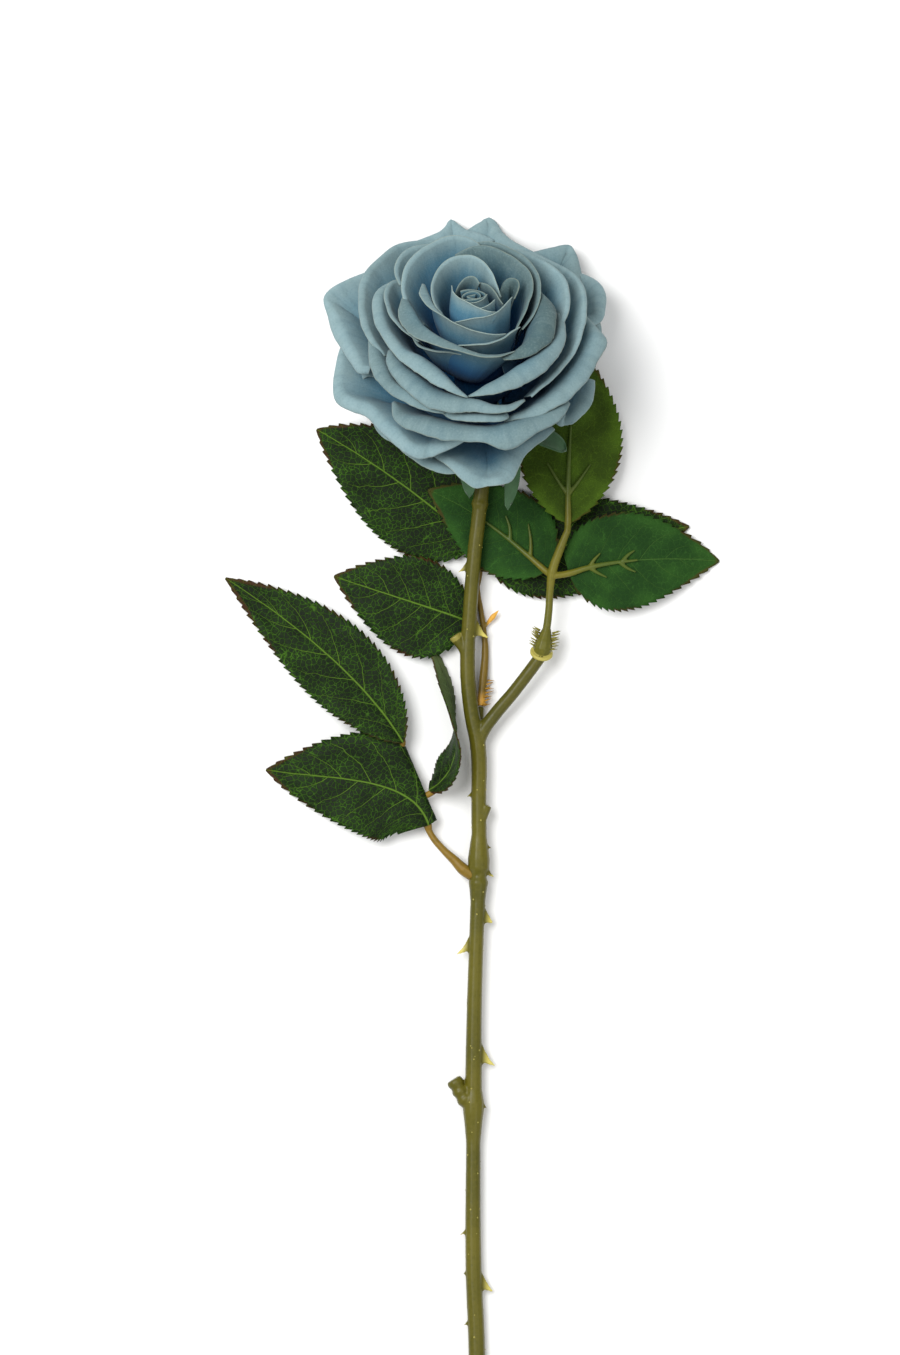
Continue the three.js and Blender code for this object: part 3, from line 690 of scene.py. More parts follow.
# %% Middle rings
THIRD = {
    "name": "petals_third", "root": (8, 14), "opens": 48, "lean": 40, "hold": 0.36, "curl": 4.2, "bend": 108,
    "inside": False, "wave": 0.3, "dye_and_shade": 0.9, "greys_and_shades": [0.4, 0.55, 1.35, 0.3],
    "petals": [
        [
            (-29.5, 26.7, 48, 1), (-33.3, 22.5, 49, 4), (-33.8, 15.5, 50, 4.6), (-31, 8.5, 50.5, 4.8),
            (-26.3, 3, 51, 5.6), (-20, -0.9, 51.5, 7), (-14.5, -5, 51, 7.2), (-10, -9.3, 49.5, 5.2),
            (-6.5, -12.5, 48, 3), (-3.6, -15, 46.5, 0.6),
        ],
        [
            (-3.4, -14.8, 46, 0.6), (2, -11.6, 48, 5.2), (8, -7.8, 49.5, 8.2), (13, -4.7, 50.5, 9.2),
            (18, -1.8, 51, 9), (23, 2.2, 50.5, 7.6), (26.8, 6, 49.5, 5.2), (28.4, 11, 48.5, 3),
            (28.2, 15, 47.5, 1.5),
        ],
        [
            (21.5, 23, 52, 1), (21.6, 17, 53, 6.8), (20.3, 11, 54, 8.8), (18, 5.8, 54, 8.6),
            (14, 2.2, 53.5, 5.8), (8.5, -0.8, 52.5, 1.6),
        ],
        [
            (-4, 36, 48, 1), (4, 39.5, 49.5, 1.4), (14, 37, 50, 1.6), (20, 34.3, 50.3, 2),
            (26, 31, 50.5, 2), (29.7, 27, 50.5, 2), (31.2, 21.5, 50, 2), (30.8, 16.5, 49, 2),
            (29.2, 11.5, 48, 1.6), (28.2, 6, 46, 1),
        ],
    ],
}
FOURTH = {
    "name": "petals_fourth", "root": (8, 9), "opens": 60, "lean": 46, "hold": 0.34, "curl": 4.6, "bend": 105,
    "inside": False, "wave": 0.35, "dye_and_shade": 0.85, "greys_and_shades": [0.3, 0.6, 0.6, 0.55, 0.25],
    "petals": [
        [
            (-6, 39, 40, 1), (-16, 40.6, 41.5, 2), (-23, 40.4, 42.5, 2), (-28.5, 38.6, 43, 3),
            (-33, 34.8, 44, 3.4), (-37.3, 30.6, 44.5, 3.4), (-39.6, 26.6, 45, 3.2), (-40.6, 21, 45, 3),
            (-40.2, 14, 44.5, 3), (-38.4, 8, 44, 2.6), (-35.4, 3.5, 43.5, 2), (-33, 0, 42.5, 1),
        ],
        [
            (-38.6, 6, 42, 1), (-35.3, 1.5, 43, 5), (-33, -4, 43.5, 6), (-29.5, -9.5, 43.5, 5.6),
            (-24, -13.5, 43, 5.2), (-18, -17.5, 42, 3.4), (-12, -20.5, 40.5, 0.8),
        ],
        [
            (-31, 2.2, 44.5, 1.6), (-29, -0.7, 45, 5), (-25.5, -4.5, 45.5, 7), (-19, -9.5, 45.5, 8.4),
            (-12, -13.3, 45, 8.8), (-6, -15.2, 44.5, 8), (0, -16.3, 44.5, 6.2), (6, -17.8, 44, 4.6),
            (11, -17.8, 43.5, 3.6), (16.3, -15.8, 42.5, 1),
        ],
        [
            (-14, -18.5, 39, 1), (-8, -20.2, 40, 4), (-2, -20.9, 40.5, 4.6), (4, -21.2, 40.5, 4.4),
            (8.6, -21, 40, 3.6), (9.4, -20, 39, 1),
        ],
        [
            (14, 38, 41, 1), (21, 35.5, 42.5, 1.4), (27, 32.6, 43.5, 1.8), (33, 28.9, 44.5, 2),
            (36.2, 24.8, 45, 2), (37.3, 19, 45, 2), (36.8, 12, 44.5, 2), (34.6, 4.5, 44, 2),
            (30.3, -2.2, 43, 2), (25, -8.6, 42, 1.8), (18.5, -14.5, 40.5, 1),
        ],
    ],
}
print("middle petals:", sum(len(ring["petals"]) for ring in (THIRD, FOURTH)))

# %% Outer rings
FRONT = {
    "name": "petals_front", "root": (8, 7), "opens": 66, "lean": 50, "hold": 0.32, "curl": 5.4, "bend": 100,
    "inside": False, "wave": 0.4, "dye_and_shade": 0.8, "greys_and_shades": [0.65, 0.4],
    "petals": [
        [
            (-29.8, -16.5, 34, 1.4), (-26, -20, 35, 5.6), (-20, -22, 36, 8.2), (-12, -23.8, 36.5, 8.6),
            (-4, -25, 36.5, 7.8), (3, -25.4, 36.5, 8.6), (8, -25, 36.5, 11.4), (14, -23.6, 36, 9.8),
            (20, -21.3, 35.5, 8.8), (26, -18.8, 35, 7.4), (31.5, -16, 34, 2.4),
        ],
        [
            (37, 14, 38, 2), (38.3, 10, 38, 5), (38.4, 6.5, 38, 8.8), (37.6, 3, 38, 8), (36, -1.5, 38, 7.4),
            (32.5, -7, 38, 8), (27, -13, 38, 7), (21, -17.5, 37.5, 5.4), (15, -20.5, 37, 3.6),
            (9, -23, 36, 1.2),
        ],
    ],
}
OPEN = {
    "name": "petals_open", "root": (8, 5), "opens": 72, "lean": 66, "hold": 0.26, "curl": 3.4, "bend": 120,
    "inside": True, "wave": 0.45, "dye_and_shade": 0.45, "greys_and_shades": [0.15, 0.15, 0.4, 0.2, -0.2, 0.1],
    "petals": [
        [
            (-33, 34.5, 36, 4), (-28.5, 39.4, 37, 5), (-20, 42.4, 38, 6), (-14, 45, 38.3, 6),
            (-11.6, 47.2, 38, 4), (-9.8, 49.4, 37.5, 2.2), (-7.4, 48, 38, 4), (-4, 45.6, 38.3, 6),
            (1, 44, 38, 5), (6, 42, 37, 4),
        ],
        [
            (-8, 43, 36, 4), (-3, 46.2, 37, 5), (1, 48.8, 37.3, 4), (3.6, 50.3, 37, 2.6), (6, 49, 37.3, 4),
            (8.6, 45.4, 37.8, 6), (12, 42.2, 38.2, 6), (17, 39.3, 38.6, 6), (22, 36.7, 38.6, 6),
            (28, 33.2, 38.4, 5), (34, 29, 38, 4),
        ],
        [
            (14, 37.4, 32.5, 4), (20.5, 37.8, 33.5, 5), (27, 39.1, 34, 6), (32.8, 40.1, 33.8, 2.2),
            (34.6, 38, 33.6, 3), (36, 33.5, 33.3, 6), (36.6, 28.5, 33, 5), (37.5, 22, 32, 4),
        ],
        [
            (32, 30.5, 30, 4), (38, 29.6, 31, 5), (42.6, 27.2, 31.5, 6), (44.9, 24, 31.5, 6),
            (45, 19, 31.3, 6), (44, 14.6, 31, 5), (40.5, 11, 30.5, 4), (36, 7, 30, 3),
        ],
        [
            (-33, 31, 35.5, 4), (-38.5, 30.8, 36.5, 5), (-45, 28.5, 37.2, 6), (-50.5, 25.8, 37.4, 6),
            (-54, 23.2, 37.2, 3.5), (-55.3, 20.9, 37, 2), (-53.8, 16, 36.5, 5), (-51.6, 10, 36, 7),
            (-48.4, 4, 35.5, 6), (-45.2, -1, 35, 5.5), (-42.4, -4.8, 34.5, 4), (-39.6, -6, 34, 3),
        ],
        [
            (-46, 8, 28, 4), (-48.8, 4, 28, 5), (-50.5, -3, 27.5, 6), (-51.4, -9, 27, 6),
            (-50.2, -14, 27, 6), (-45.5, -17.8, 27, 6), (-40, -20.4, 27, 6), (-35.5, -23.7, 27, 6),
            (-31, -28.5, 27, 6), (-26.5, -32.5, 27, 6), (-21, -35, 27, 6), (-15, -35.3, 27, 5),
            (-10, -33.4, 27.5, 4), (-4, -30, 28, 3),
        ],
    ],
}
OUTER = {
    "name": "petals_outer", "root": (7, 2.8), "opens": 80, "lean": 74, "hold": 0.2, "curl": 3, "bend": 60,
    "inside": True, "wave": 0.45, "dye_and_shade": 0.45, "greys_and_shades": [0.5, 0.6, 0.3, 0.3, 0.2, 0.2, 0.2, 0.2, 0.4, 0.4],
    "petals": [
        [
            (-36, -18, 20, 3), (-37.4, -23, 20, 4), (-35.6, -26.8, 20, 4), (-32, -29.8, 20, 4),
            (-28, -32.4, 20, 4), (-23, -33, 20, 3),
        ],
        [
            (-32, -28, 15, 3), (-29, -31.6, 15, 3), (-24, -35.8, 15, 3), (-18, -39.9, 14.5, 3),
            (-12, -42.3, 14, 3), (-7, -42.4, 14, 3), (-2, -40, 14, 3),
        ],
        [
            (-19, -33, 15, 3), (-11, -38.8, 16.5, 4), (-5.5, -43, 17.5, 5), (-1.5, -45.8, 18, 5),
            (3, -46.6, 18, 4), (6, -46.1, 18, 4), (9, -44.9, 18, 4), (12.2, -42.6, 17.5, 5),
            (14.8, -38, 17, 5), (17.5, -34, 16.5, 5), (22, -30.8, 16.5, 4), (28, -26, 17, 3),
        ],
        [
            (41.8, -8, 22, 3), (41.4, -12, 22, 4), (40.2, -16.5, 22, 4), (37.4, -20.5, 22, 4),
            (33.6, -23.6, 22, 4), (29.6, -24.3, 22, 4), (25.5, -21.5, 22, 3),
        ],
        [(-3, 31, 25, 3), (5, 34, 25.5, 4), (15, 34, 26, 4), (25, 31, 26, 4), (33, 24, 25.5, 3)],
        [
            (-40, 17, 25, 3), (-37, 25, 25.5, 4), (-28, 31, 26, 4), (-17, 34.5, 26, 4), (-7, 34.5, 25.5, 4),
            (2, 31, 25, 3),
        ],
        [(43, 3, 24, 3), (44, 9, 24, 4), (42.5, 16, 24.5, 4), (39, 22, 25, 4), (33, 26, 25, 3)],
        [(-40, 13, 26, 3), (-46, 13, 26.5, 4), (-48, 6, 26, 4), (-46, -2, 25, 4), (-42, -8, 24, 3)],
        [(-18, 28, 22, 3), (-9, 33, 22.5, 4), (0, 34, 22.5, 4), (9, 33, 22.5, 4), (18, 28, 22, 3)],
        [(24, 22, 22, 3), (30, 17, 22.5, 4), (33, 10, 22.5, 4), (34, 2, 22.5, 4), (31, -6, 22, 3)],
    ],
}
RINGS = [BUD, INNER, SECOND, THIRD, FOURTH, FRONT, OPEN, OUTER]
print("petals:", sum(len(ring["petals"]) for ring in RINGS))

# %% [markdown]
# ## Cloth gets its thickness
#
# So far a petal is a sheet without thickness. The petals of a ring are joined first, and one Solidify
# modifier then thickens them all to both sides by the same cloth.

# %% Make every ring
def petal_ring(number, ring):
    """The petals of a ring, joined and given the cloth's thickness."""
    made = [petal(ring, k, seed=100 * number + k) for k in range(len(ring["petals"]))]
    piece = join(ring["name"], made)
    apply_modifier(piece, "SOLIDIFY", thickness=CLOTH * MM, offset=0)
    bpy.ops.object.shade_smooth()
    hand_over(piece, [petal_cloth], "petal_fabric", "bloom")


for number, ring in enumerate(RINGS, start=1):
    petal_ring(number, ring)

# %% [markdown]
# ## The heart of the flower
#
# The middle is one strip of cloth wound on itself, like a bud, and pinched to an oval. A spiral does that:
# the strip's turn and its distance from the axis grow together. Under it, the pressed bases of the petals
# fill the middle. A stretched ball stands for them, so no light comes through between the petals.

# %% Wound heart and the filled middle
HEART = {
    "turns": 2.3, "start": 0.6, "inner": 0.8, "outer": 5.0, "pinch": 0.55, "foot": 44, "rim": 60.8,
    "columns": 140, "rows": 14, "length": 45, "height": 17,
}
MIDDLE_BALL = {"radius": 9, "height": 24, "reach": 22}
HEART_MIDDLE = seen_at(-2.0, 21.2, HEART["rim"])


def wound_heart():
    piece = add_grid(HEART["columns"], HEART["rows"])
    flat, rises, edges = [], [], []
    for vertex in piece.data.vertices:
        wound = (vertex.co.x + 1) / 2
        s = (vertex.co.y + 1) / 2
        turn = HEART["start"] + wound * HEART["turns"] * math.tau
        out = HEART["inner"] + (HEART["outer"] - HEART["inner"]) * wound + 0.4 * s**5
        rim = HEART["rim"] + 0.5 * wound + 0.45 * math.sin(turn * 1.7 + 1)
        height = HEART["foot"] + (rim - HEART["foot"]) * s
        right = HEART_MIDDLE.x + out * math.cos(turn)
        back = HEART_MIDDLE.y + out * math.sin(turn) * HEART["pinch"]
        vertex.co = spot(*in_flower(right, back, height))
        flat.append((wound * HEART["length"], s * 20))
        # Low rises keep the heart near the darker root colour, which is cloth dyed deeper with painted shade.
        rises.append(0.55 + 0.3 * s**3)
        edges.append((1 - s) * HEART["height"])
    lay_cloth(piece, flat)
    mark(piece, "rise", rises)
    mark(piece, "edge", edges)
    # The heart is greyed fully, as painted shade deep in the flower.
    mark(piece, "grey_and_shade", [1.0] * len(flat))
    apply_modifier(piece, "SOLIDIFY", thickness=CLOTH * MM, offset=0)
    return piece


def filled_middle():
    deselect()
    bpy.ops.mesh.primitive_uv_sphere_add(segments=32, ring_count=20, radius=1)
    piece = bpy.context.object
    for vertex in piece.data.vertices:
        x, y, z = vertex.co
        radius, height = MIDDLE_BALL["radius"], MIDDLE_BALL["height"] + z * MIDDLE_BALL["reach"]
        vertex.co = spot(*in_flower(x * radius, y * radius, height))
    # The ball takes the darkest root colour, which is cloth dyed deeper with painted shade, and no grey.
    for name, value in (("rise", 0), ("edge", 9), ("grey_and_shade", 0)):
        mark(piece, name, [value] * len(piece.data.vertices))
    piece.data.uv_layers[0].name = "cloth"
    return piece


heart = join("heart", [wound_heart(), filled_middle()])
bpy.ops.object.shade_smooth()
hand_over(heart, [petal_cloth], "petal_fabric", "bloom")

# %% [markdown]
# ## Moulded plastic
#
# Stem and stalks are moulded in olive plastic with a satin skin. The colour drifts between yellow-olive
# and brown along the stem, as it does where a mould is sprayed by hand. Thorns are a paler, waxy plastic,
# and ribs that lie on a leaf are greener. One function makes each shade, and two attributes say where the
# pale and the leafy plastic show.

# %% Plastic finish
LEAFY_GREEN = colour(58, 82, 26)
SATIN = 0.4


def plastic_finish(name, light, deep, pale):
    finish = Finish(name, Specular_IOR_Level=0.25)
    drift = finish.cloud(finish.place(28), 2)
    speck = finish.cloud(finish.place(900), 3)
    body = finish.mix(finish.fade(drift, 0.3, 0.7), deep, light)
    body = finish.mix(finish.fade(speck, 0.5, 0.75) * 0.5, body, light)
    body = finish.mix(finish.fade(0.5 - speck, 0.0, 0.25) * 0.4, body, deep)
    body = finish.mix(finish.attribute("pale"), body, pale)
    body = finish.mix(finish.attribute("leafy"), body, LEAFY_GREEN)
    finish.feed("Base Color", body)
    finish.feed("Roughness", SATIN + (speck - 0.5) * 0.3)
    finish.bump(speck + drift * 0.4, 0.00015, 0.35)
    return finish


PALE_WAX = colour(196, 184, 96)
PALE_AMBER = colour(214, 160, 62)
stem_plastic = plastic_finish("stem_plastic", colour(94, 88, 20), colour(68, 67, 11), PALE_WAX)
tan_plastic = plastic_finish("tan_plastic", colour(140, 110, 38), colour(98, 80, 22), PALE_WAX)
brown_plastic = plastic_finish("brown_plastic", colour(118, 96, 30), colour(86, 68, 18), PALE_AMBER)
olive_plastic = plastic_finish("olive_plastic", colour(110, 104, 30), colour(80, 80, 20), PALE_WAX)
print("plastic finishes made")

# %% [markdown]
# ## Limbs
#
# A limb is a round rod along a smooth route that gets thicker and thinner. A curve with a bevel and a
# radius at each point is the quickest way to one, and it is then converted to a mesh. Limbs that are moulded
# in one are joined and remeshed into a single skin, and a light smoothing leaves the soft fillets that a
# mould has. Fine hairs would be lost in that, so they are added afterwards.

# %% Limbs and fused skins
def limb(route, radii):
    curve = bpy.data.curves.new("limb", "CURVE")
    curve.dimensions = "3D"
    curve.bevel_depth = MM
    curve.bevel_resolution = 3
    curve.use_fill_caps = True
    curve.resolution_u = 8
    spline = curve.splines.new("BEZIER")
    spline.bezier_points.add(len(route) - 1)
    for point, place, radius in zip(spline.bezier_points, route, radii):
        point.co = spot(*place)
        point.radius = radius
        point.handle_left_type = "AUTO"
        point.handle_right_type = "AUTO"
    piece = bpy.data.objects.new("limb", curve)
    bpy.context.collection.objects.link(piece)
    take(piece)
    bpy.ops.object.convert(target="MESH")
    return bpy.context.object


def fuse(name, items, grain, smooth=4):
    piece = join(name, items)
    apply_modifier(piece, "REMESH", mode="VOXEL", voxel_size=grain * MM)
    apply_modifier(piece, "SMOOTH", factor=0.5, iterations=smooth)
    bpy.ops.object.shade_smooth()
    keep_up(piece)
    return piece


print("limbs are ready")

# %% [markdown]
# ## Main stem
#
# The stem is nearly straight, about 5 mm thick, with swollen joints, hooked thorns, the stump of a cut
# shoot and a fork. Its rows give across, along, up and radius. A thorn's row gives its place along the
# stem, its side, how long its root is and how far it reaches, and a swelling is a short fat limb over the
# stem.

# %% Stem measures
STEM = [
    (-0.2, 0, 2.6, 2.8), (-0.2, 46, 2.7, 2.8), (-0.5, 95, 3.0, 2.8), (-1.6, 122, 3.4, 2.7),
    (-1.7, 166, 4.0, 2.4), (-1.6, 188, 4.3, 2.85), (-1.4, 212, 4.7, 2.55), (-0.6, 240, 5.2, 2.4),
    (0.3, 265, 5.7, 2.6), (0.3, 290, 6.1, 2.5), (0.0, 310, 6.5, 2.7), (-2.3, 322, 6.7, 2.6),
    (-3.8, 339, 6.9, 2.5), (-2.8, 359, 7.2, 2.4), (-1.4, 378, 7.8, 2.4), (0.2, 392, 8.2, 2.4),
    (1.5, 405, 8.4, 2.5), (1.9, 414, 8.5, 2.5), (1.9, 419.3, 9.0, 2.5),
]
BRANCH = [
    (-0.4, 309, 6.5), (1.6, 315, 6.8), (5.4, 320.5, 7.2), (13.3, 330, 8.2), (22.6, 342.4, 9.3),
    (23.4, 343.6, 9.4),
]
THORNS = [
    (249.5, 1, 8.6, 4.3), (239.0, -1, 8.2, 4.3), (199.5, 1, 10.0, 4.9), (117.5, 1, 9.0, 4.6),
    (375.0, -1, 5.6, 3.3), (353.0, 1, 9.0, 4.4), (136.0, -1, 4.2, 2.2), (121.0, -1, 3.6, 1.8),
    (103.0, -1, 3.6, 1.9), (293.0, -1, 3.4, 2.4), (274.5, 1, 3.4, 2.6), (266.0, 1, 7.0, 3.0),
    (182.0, 1, 6.0, 2.8), (55.0, 1, 8.6, 4.3), (28.0, -1, 8.2, 4.2),
]
SWELLINGS = [
    [(280, 2.4), (274.5, 3.3), (269.5, 4.0), (266, 3.9), (263.8, 2.8)],
    [(263, 2.8), (261, 3.6), (258, 3.15), (252, 2.5)],
    [(187, 3.0), (181.6, 3.9), (178.6, 3.8), (173.5, 3.2), (166, 2.5)],
    [(400, 2.4), (397, 3.2), (394.5, 2.4)],
]
SMOOTHING_LOSS = 0.25
CUP_FOOT = 6
NECK = 2.2
print("stem:", STEM[-1][1], "mm, thorns:", len(THORNS), "and swellings:", len(SWELLINGS))

# %% [markdown]
# ## Thorns
#
# A cone would be the quick way to a thorn, but a real one is a flat hook with a long root. Each is modelled
# as by hand: a round face just under the stem's skin is extruded outwards four times and made smaller each
# time, and each step drops further towards the cut end, which gives the hook. A step gives how far out the
# face has come, its size by then and its drop, all as shares.

# %% One thorn
THORN_ROOT = 1.2
THORN_STEPS = [(0.25, 0.74, 0.04), (0.45, 0.46, 0.16), (0.7, 0.25, 0.32), (1.1, 0.06, 0.5)]


def stem_at(y):
    """The stem's middle and radius at a place along it."""
    k = 1
    while k < len(STEM) - 1 and STEM[k][1] < y:
        k += 1
    before, after = Vector(STEM[k - 1]), Vector(STEM[k])
    return before.lerp(after, (y - before[1]) / (after[1] - before[1]))


def thorn(y, side, root, reach):
    x, _, z, radius = stem_at(y)
    foot = spot(x + side * (radius - THORN_ROOT), y, z)
    bpy.ops.mesh.primitive_circle_add(vertices=16, radius=MM, fill_type="NGON", location=foot)
    piece = bpy.context.object
    upright = Matrix(((0, 0, side), (0, root / 2, 0), (-1, 0, 0)))
    for vertex in piece.data.vertices:
        vertex.co = upright @ vertex.co
    bpy.ops.object.mode_set(mode="EDIT")
    bpy.ops.mesh.select_all(action="SELECT")
    size, place = 1.0, foot
    for out, share, drop in THORN_STEPS:
        target = foot + Vector((side * out * (reach + THORN_ROOT), -drop * root, 0)) * MM
        bpy.ops.mesh.extrude_region_move(TRANSFORM_OT_translate={"value": target - place})
        bpy.ops.transform.resize(value=(share / size,) * 3, center_override=target)
        size, place = share, target
    bpy.ops.mesh.select_all(action="SELECT")
    bpy.ops.mesh.normals_make_consistent(inside=False)
    bpy.ops.object.mode_set(mode="OBJECT")
    take(piece)
    bpy.ops.object.transform_apply(location=True, rotation=True, scale=True)
    return piece


print("steps of a thorn:", len(THORN_STEPS))

# %% [markdown]
# ## The stem in one skin
#
# The stem, its fork, its stumps, swellings and thorns are all moulded in one. They are made apart, so that
# each keeps a simple shape, and then fused. The smoothing draws a skin in by a quarter of a millimetre, so
# the stem's limb starts that much thicker. Afterwards each point learns whether it is out on a thorn.

# %% Build the stem
def swelling(*rings):
    return limb([stem_at(y)[:3] for y, _ in rings], [radius for _, radius in rings])


def skin_radius(y):
    """How thick the stem is at a place, with its swollen joints."""
    radius = stem_at(y)[3]
    for rings in SWELLINGS:
        if rings[-1][0] < y < rings[0][0]:
            radius = max(radius, *(size for _, size in rings))
    return radius


def neck_end(below):
    return tuple(in_flower(0, 0, -CUP_FOOT - below))


STUB_END = (-8.5, 349.7, 7.8)
STUB_REACH = 2.6
STUB_PALE = 0.35
PALE_FROM = 0.5
PALE_OVER = 2.2
foot_of_shoot = stem_at(181)
SHOOT_STEPS = [
    (-0.5, 0, 0), (-3.2, 2.2, 0.2), (-4.1, 3.4, 0.3), (-4.8, 4.7, 0.4), (-5.5, 6.1, 0.5), (-6.4, 7.7, 0.6),
    (-7.2, 9, 0.7),
]
shoot_route = [tuple(foot_of_shoot[k] + step[k] for k in range(3)) for step in SHOOT_STEPS]
cut_shoot = limb(shoot_route, [2.6, 3.2, 2.4, 3.1, 2.4, 3.1, 2.7])
stem_route = [row[:3] for row in STEM] + [neck_end(NECK), neck_end(0.2)]
stem_parts = [
    limb(stem_route, [row[3] + SMOOTHING_LOSS for row in STEM] + [2.6, 2.5]),
    limb(BRANCH, [2.5, 2.5, 2.45, 2.35, 2.3, 2.3]),
    cut_shoot,
    limb([(-1.2, 314, 5.2), (0.4, 319, 4), (0.9, 324, 3.2)], [1.6, 1.5, 1.4]),
    limb([(-3.6, 341.5, 7), (-5.4, 345, 7.3), (-7.2, 347.8, 7.6), STUB_END], [2.1, 1.8, 1.9, 2.3]),
    limb([(0.7, 281.5, 6.4), (1.9, 285, 6.6), (3.2, 288.6, 6.8)], [1.7, 1.75, 1.9]),
    *[swelling(*values) for values in SWELLINGS],
    *[thorn(*values) for values in THORNS],
]
stem = fuse("stem_skin", stem_parts, 0.4)


def pale_share(place):
    """How far a point of the stem is out on a thorn, from 0 to 1."""
    x, y, z = (place - SHIFT) / MM
    middle = stem_at(y)
    out = math.hypot(x - middle[0], z - middle[2]) - skin_radius(y)
    near = any(
        -root * 0.9 < y - at < root * 0.6 and side * (x - middle[0]) > 1 for at, side, root, _ in THORNS
    )
    if (place - SHIFT - Vector(STUB_END) * MM).length < STUB_REACH * MM:
        return STUB_PALE
    return max(0, min(1, (out - PALE_FROM) / PALE_OVER)) if near else 0


mark(stem, "pale", [pale_share(vertex.co) for vertex in stem.data.vertices])
hand_over(stem, [stem_plastic], "stem_plastic", "stem")

# %% [markdown]
# ## Nubs and hairs
#
# The stem is sprinkled with pale nubs, each under a millimetre, and the sockets of the leaf stalks have
# stiff hairs. One nub and one hair are modelled, and copies are set out by a rule with a fixed seed. A
# particle system could scatter them, but a rule keeps them where they belong. A nub finds the skin by
# looking from outside straight at the middle of the stem.

# %% Setting out copies
def copies(template, places):
    """Copies of a small shape, each at a place, along a direction and with its own three sizes."""
    made = []
    for place, direction, sizes in places:
        mesh = template.data.copy()
        turn = Vector(direction).to_track_quat("Z", "Y").to_matrix().to_4x4()
        mesh.transform(Matrix.Translation(place) @ turn @ Matrix.Diagonal((*sizes, 1)))
        item = bpy.data.objects.new("copy", mesh)
        bpy.context.collection.objects.link(item)
        made.append(item)
    bpy.data.objects.remove(template)
    return made


NUB = 0.42
NUBS = 130
NUB_SEED = 5
NUB_SUNK = 0.1
OUTSIDE = 12

deselect()
bpy.ops.mesh.primitive_ico_sphere_add(subdivisions=1, radius=NUB * MM)
nub = bpy.context.object
bpy.ops.object.shade_smooth()
chance = random.Random(NUB_SEED)
nub_places = []
for _ in range(NUBS):
    y = chance.uniform(4, 416)
    turn = chance.uniform(0, math.tau)
    out = Vector((math.cos(turn), 0, math.sin(turn)))
    middle = spot(*stem_at(y)[:3])
    found, place, normal, _ = stem.ray_cast(middle + out * OUTSIDE * MM, -out)
    if found and place.z > NUB * MM:
        size = chance.uniform(0.5, 1.0)
        nub_places.append((place - normal * NUB_SUNK * MM, normal, (size, size, size)))
nubs = join("stem_nubs", copies(nub, nub_places))
mark(nubs, "pale", [0.5] * len(nubs.data.vertices))
hand_over(nubs, [stem_plastic], "stem_plastic")

# %% [markdown]
# ## Leaves
#
# A leaf is pressed cloth: an oval blade with a drawn-out tip, a saw-toothed margin and veins that are
# pressed into it. A flat cut-out would do from above, but it would look dead from the side. So each leaf is
# a grid laid along its midrib, a curve with four handles. The blade folds up or down from the midrib by
# its fold, turns over along its length by its roll, is fuller or narrower at its foot by its base, and its
# slim takes a share off one side of the foot. Leaves whose face is -1 show their backs. One leaf has its
# right side tucked under, past a line. Rib and spurs tell the stalk how far it runs along under the blade.

# %% Leaf measures
LEAF_CLOTH = 0.4
FULLNESS = 0.8
TUCK_RADIUS = 1.5
NEARBY = 0.01
TOOTH_LENGTH = 2.9
TOOTH_DEPTH = 1.0
TOOTH_LEAD = 1.1
LEAF_COLUMNS = 22
VEINS = 6.5
VEIN_RISE = 0.25
VEIN_CURVE = 1.12
VEIN_SHIFT = 0.45
VEIN_DEPTH = 0.3
VEIN_WIDTH = 0.16
MIDRIB_DEPTH = 0.5
MIDRIB_WIDTH = 1.1
WAVE = 1.6
LEAST_LEAF_HEIGHT = 0.3

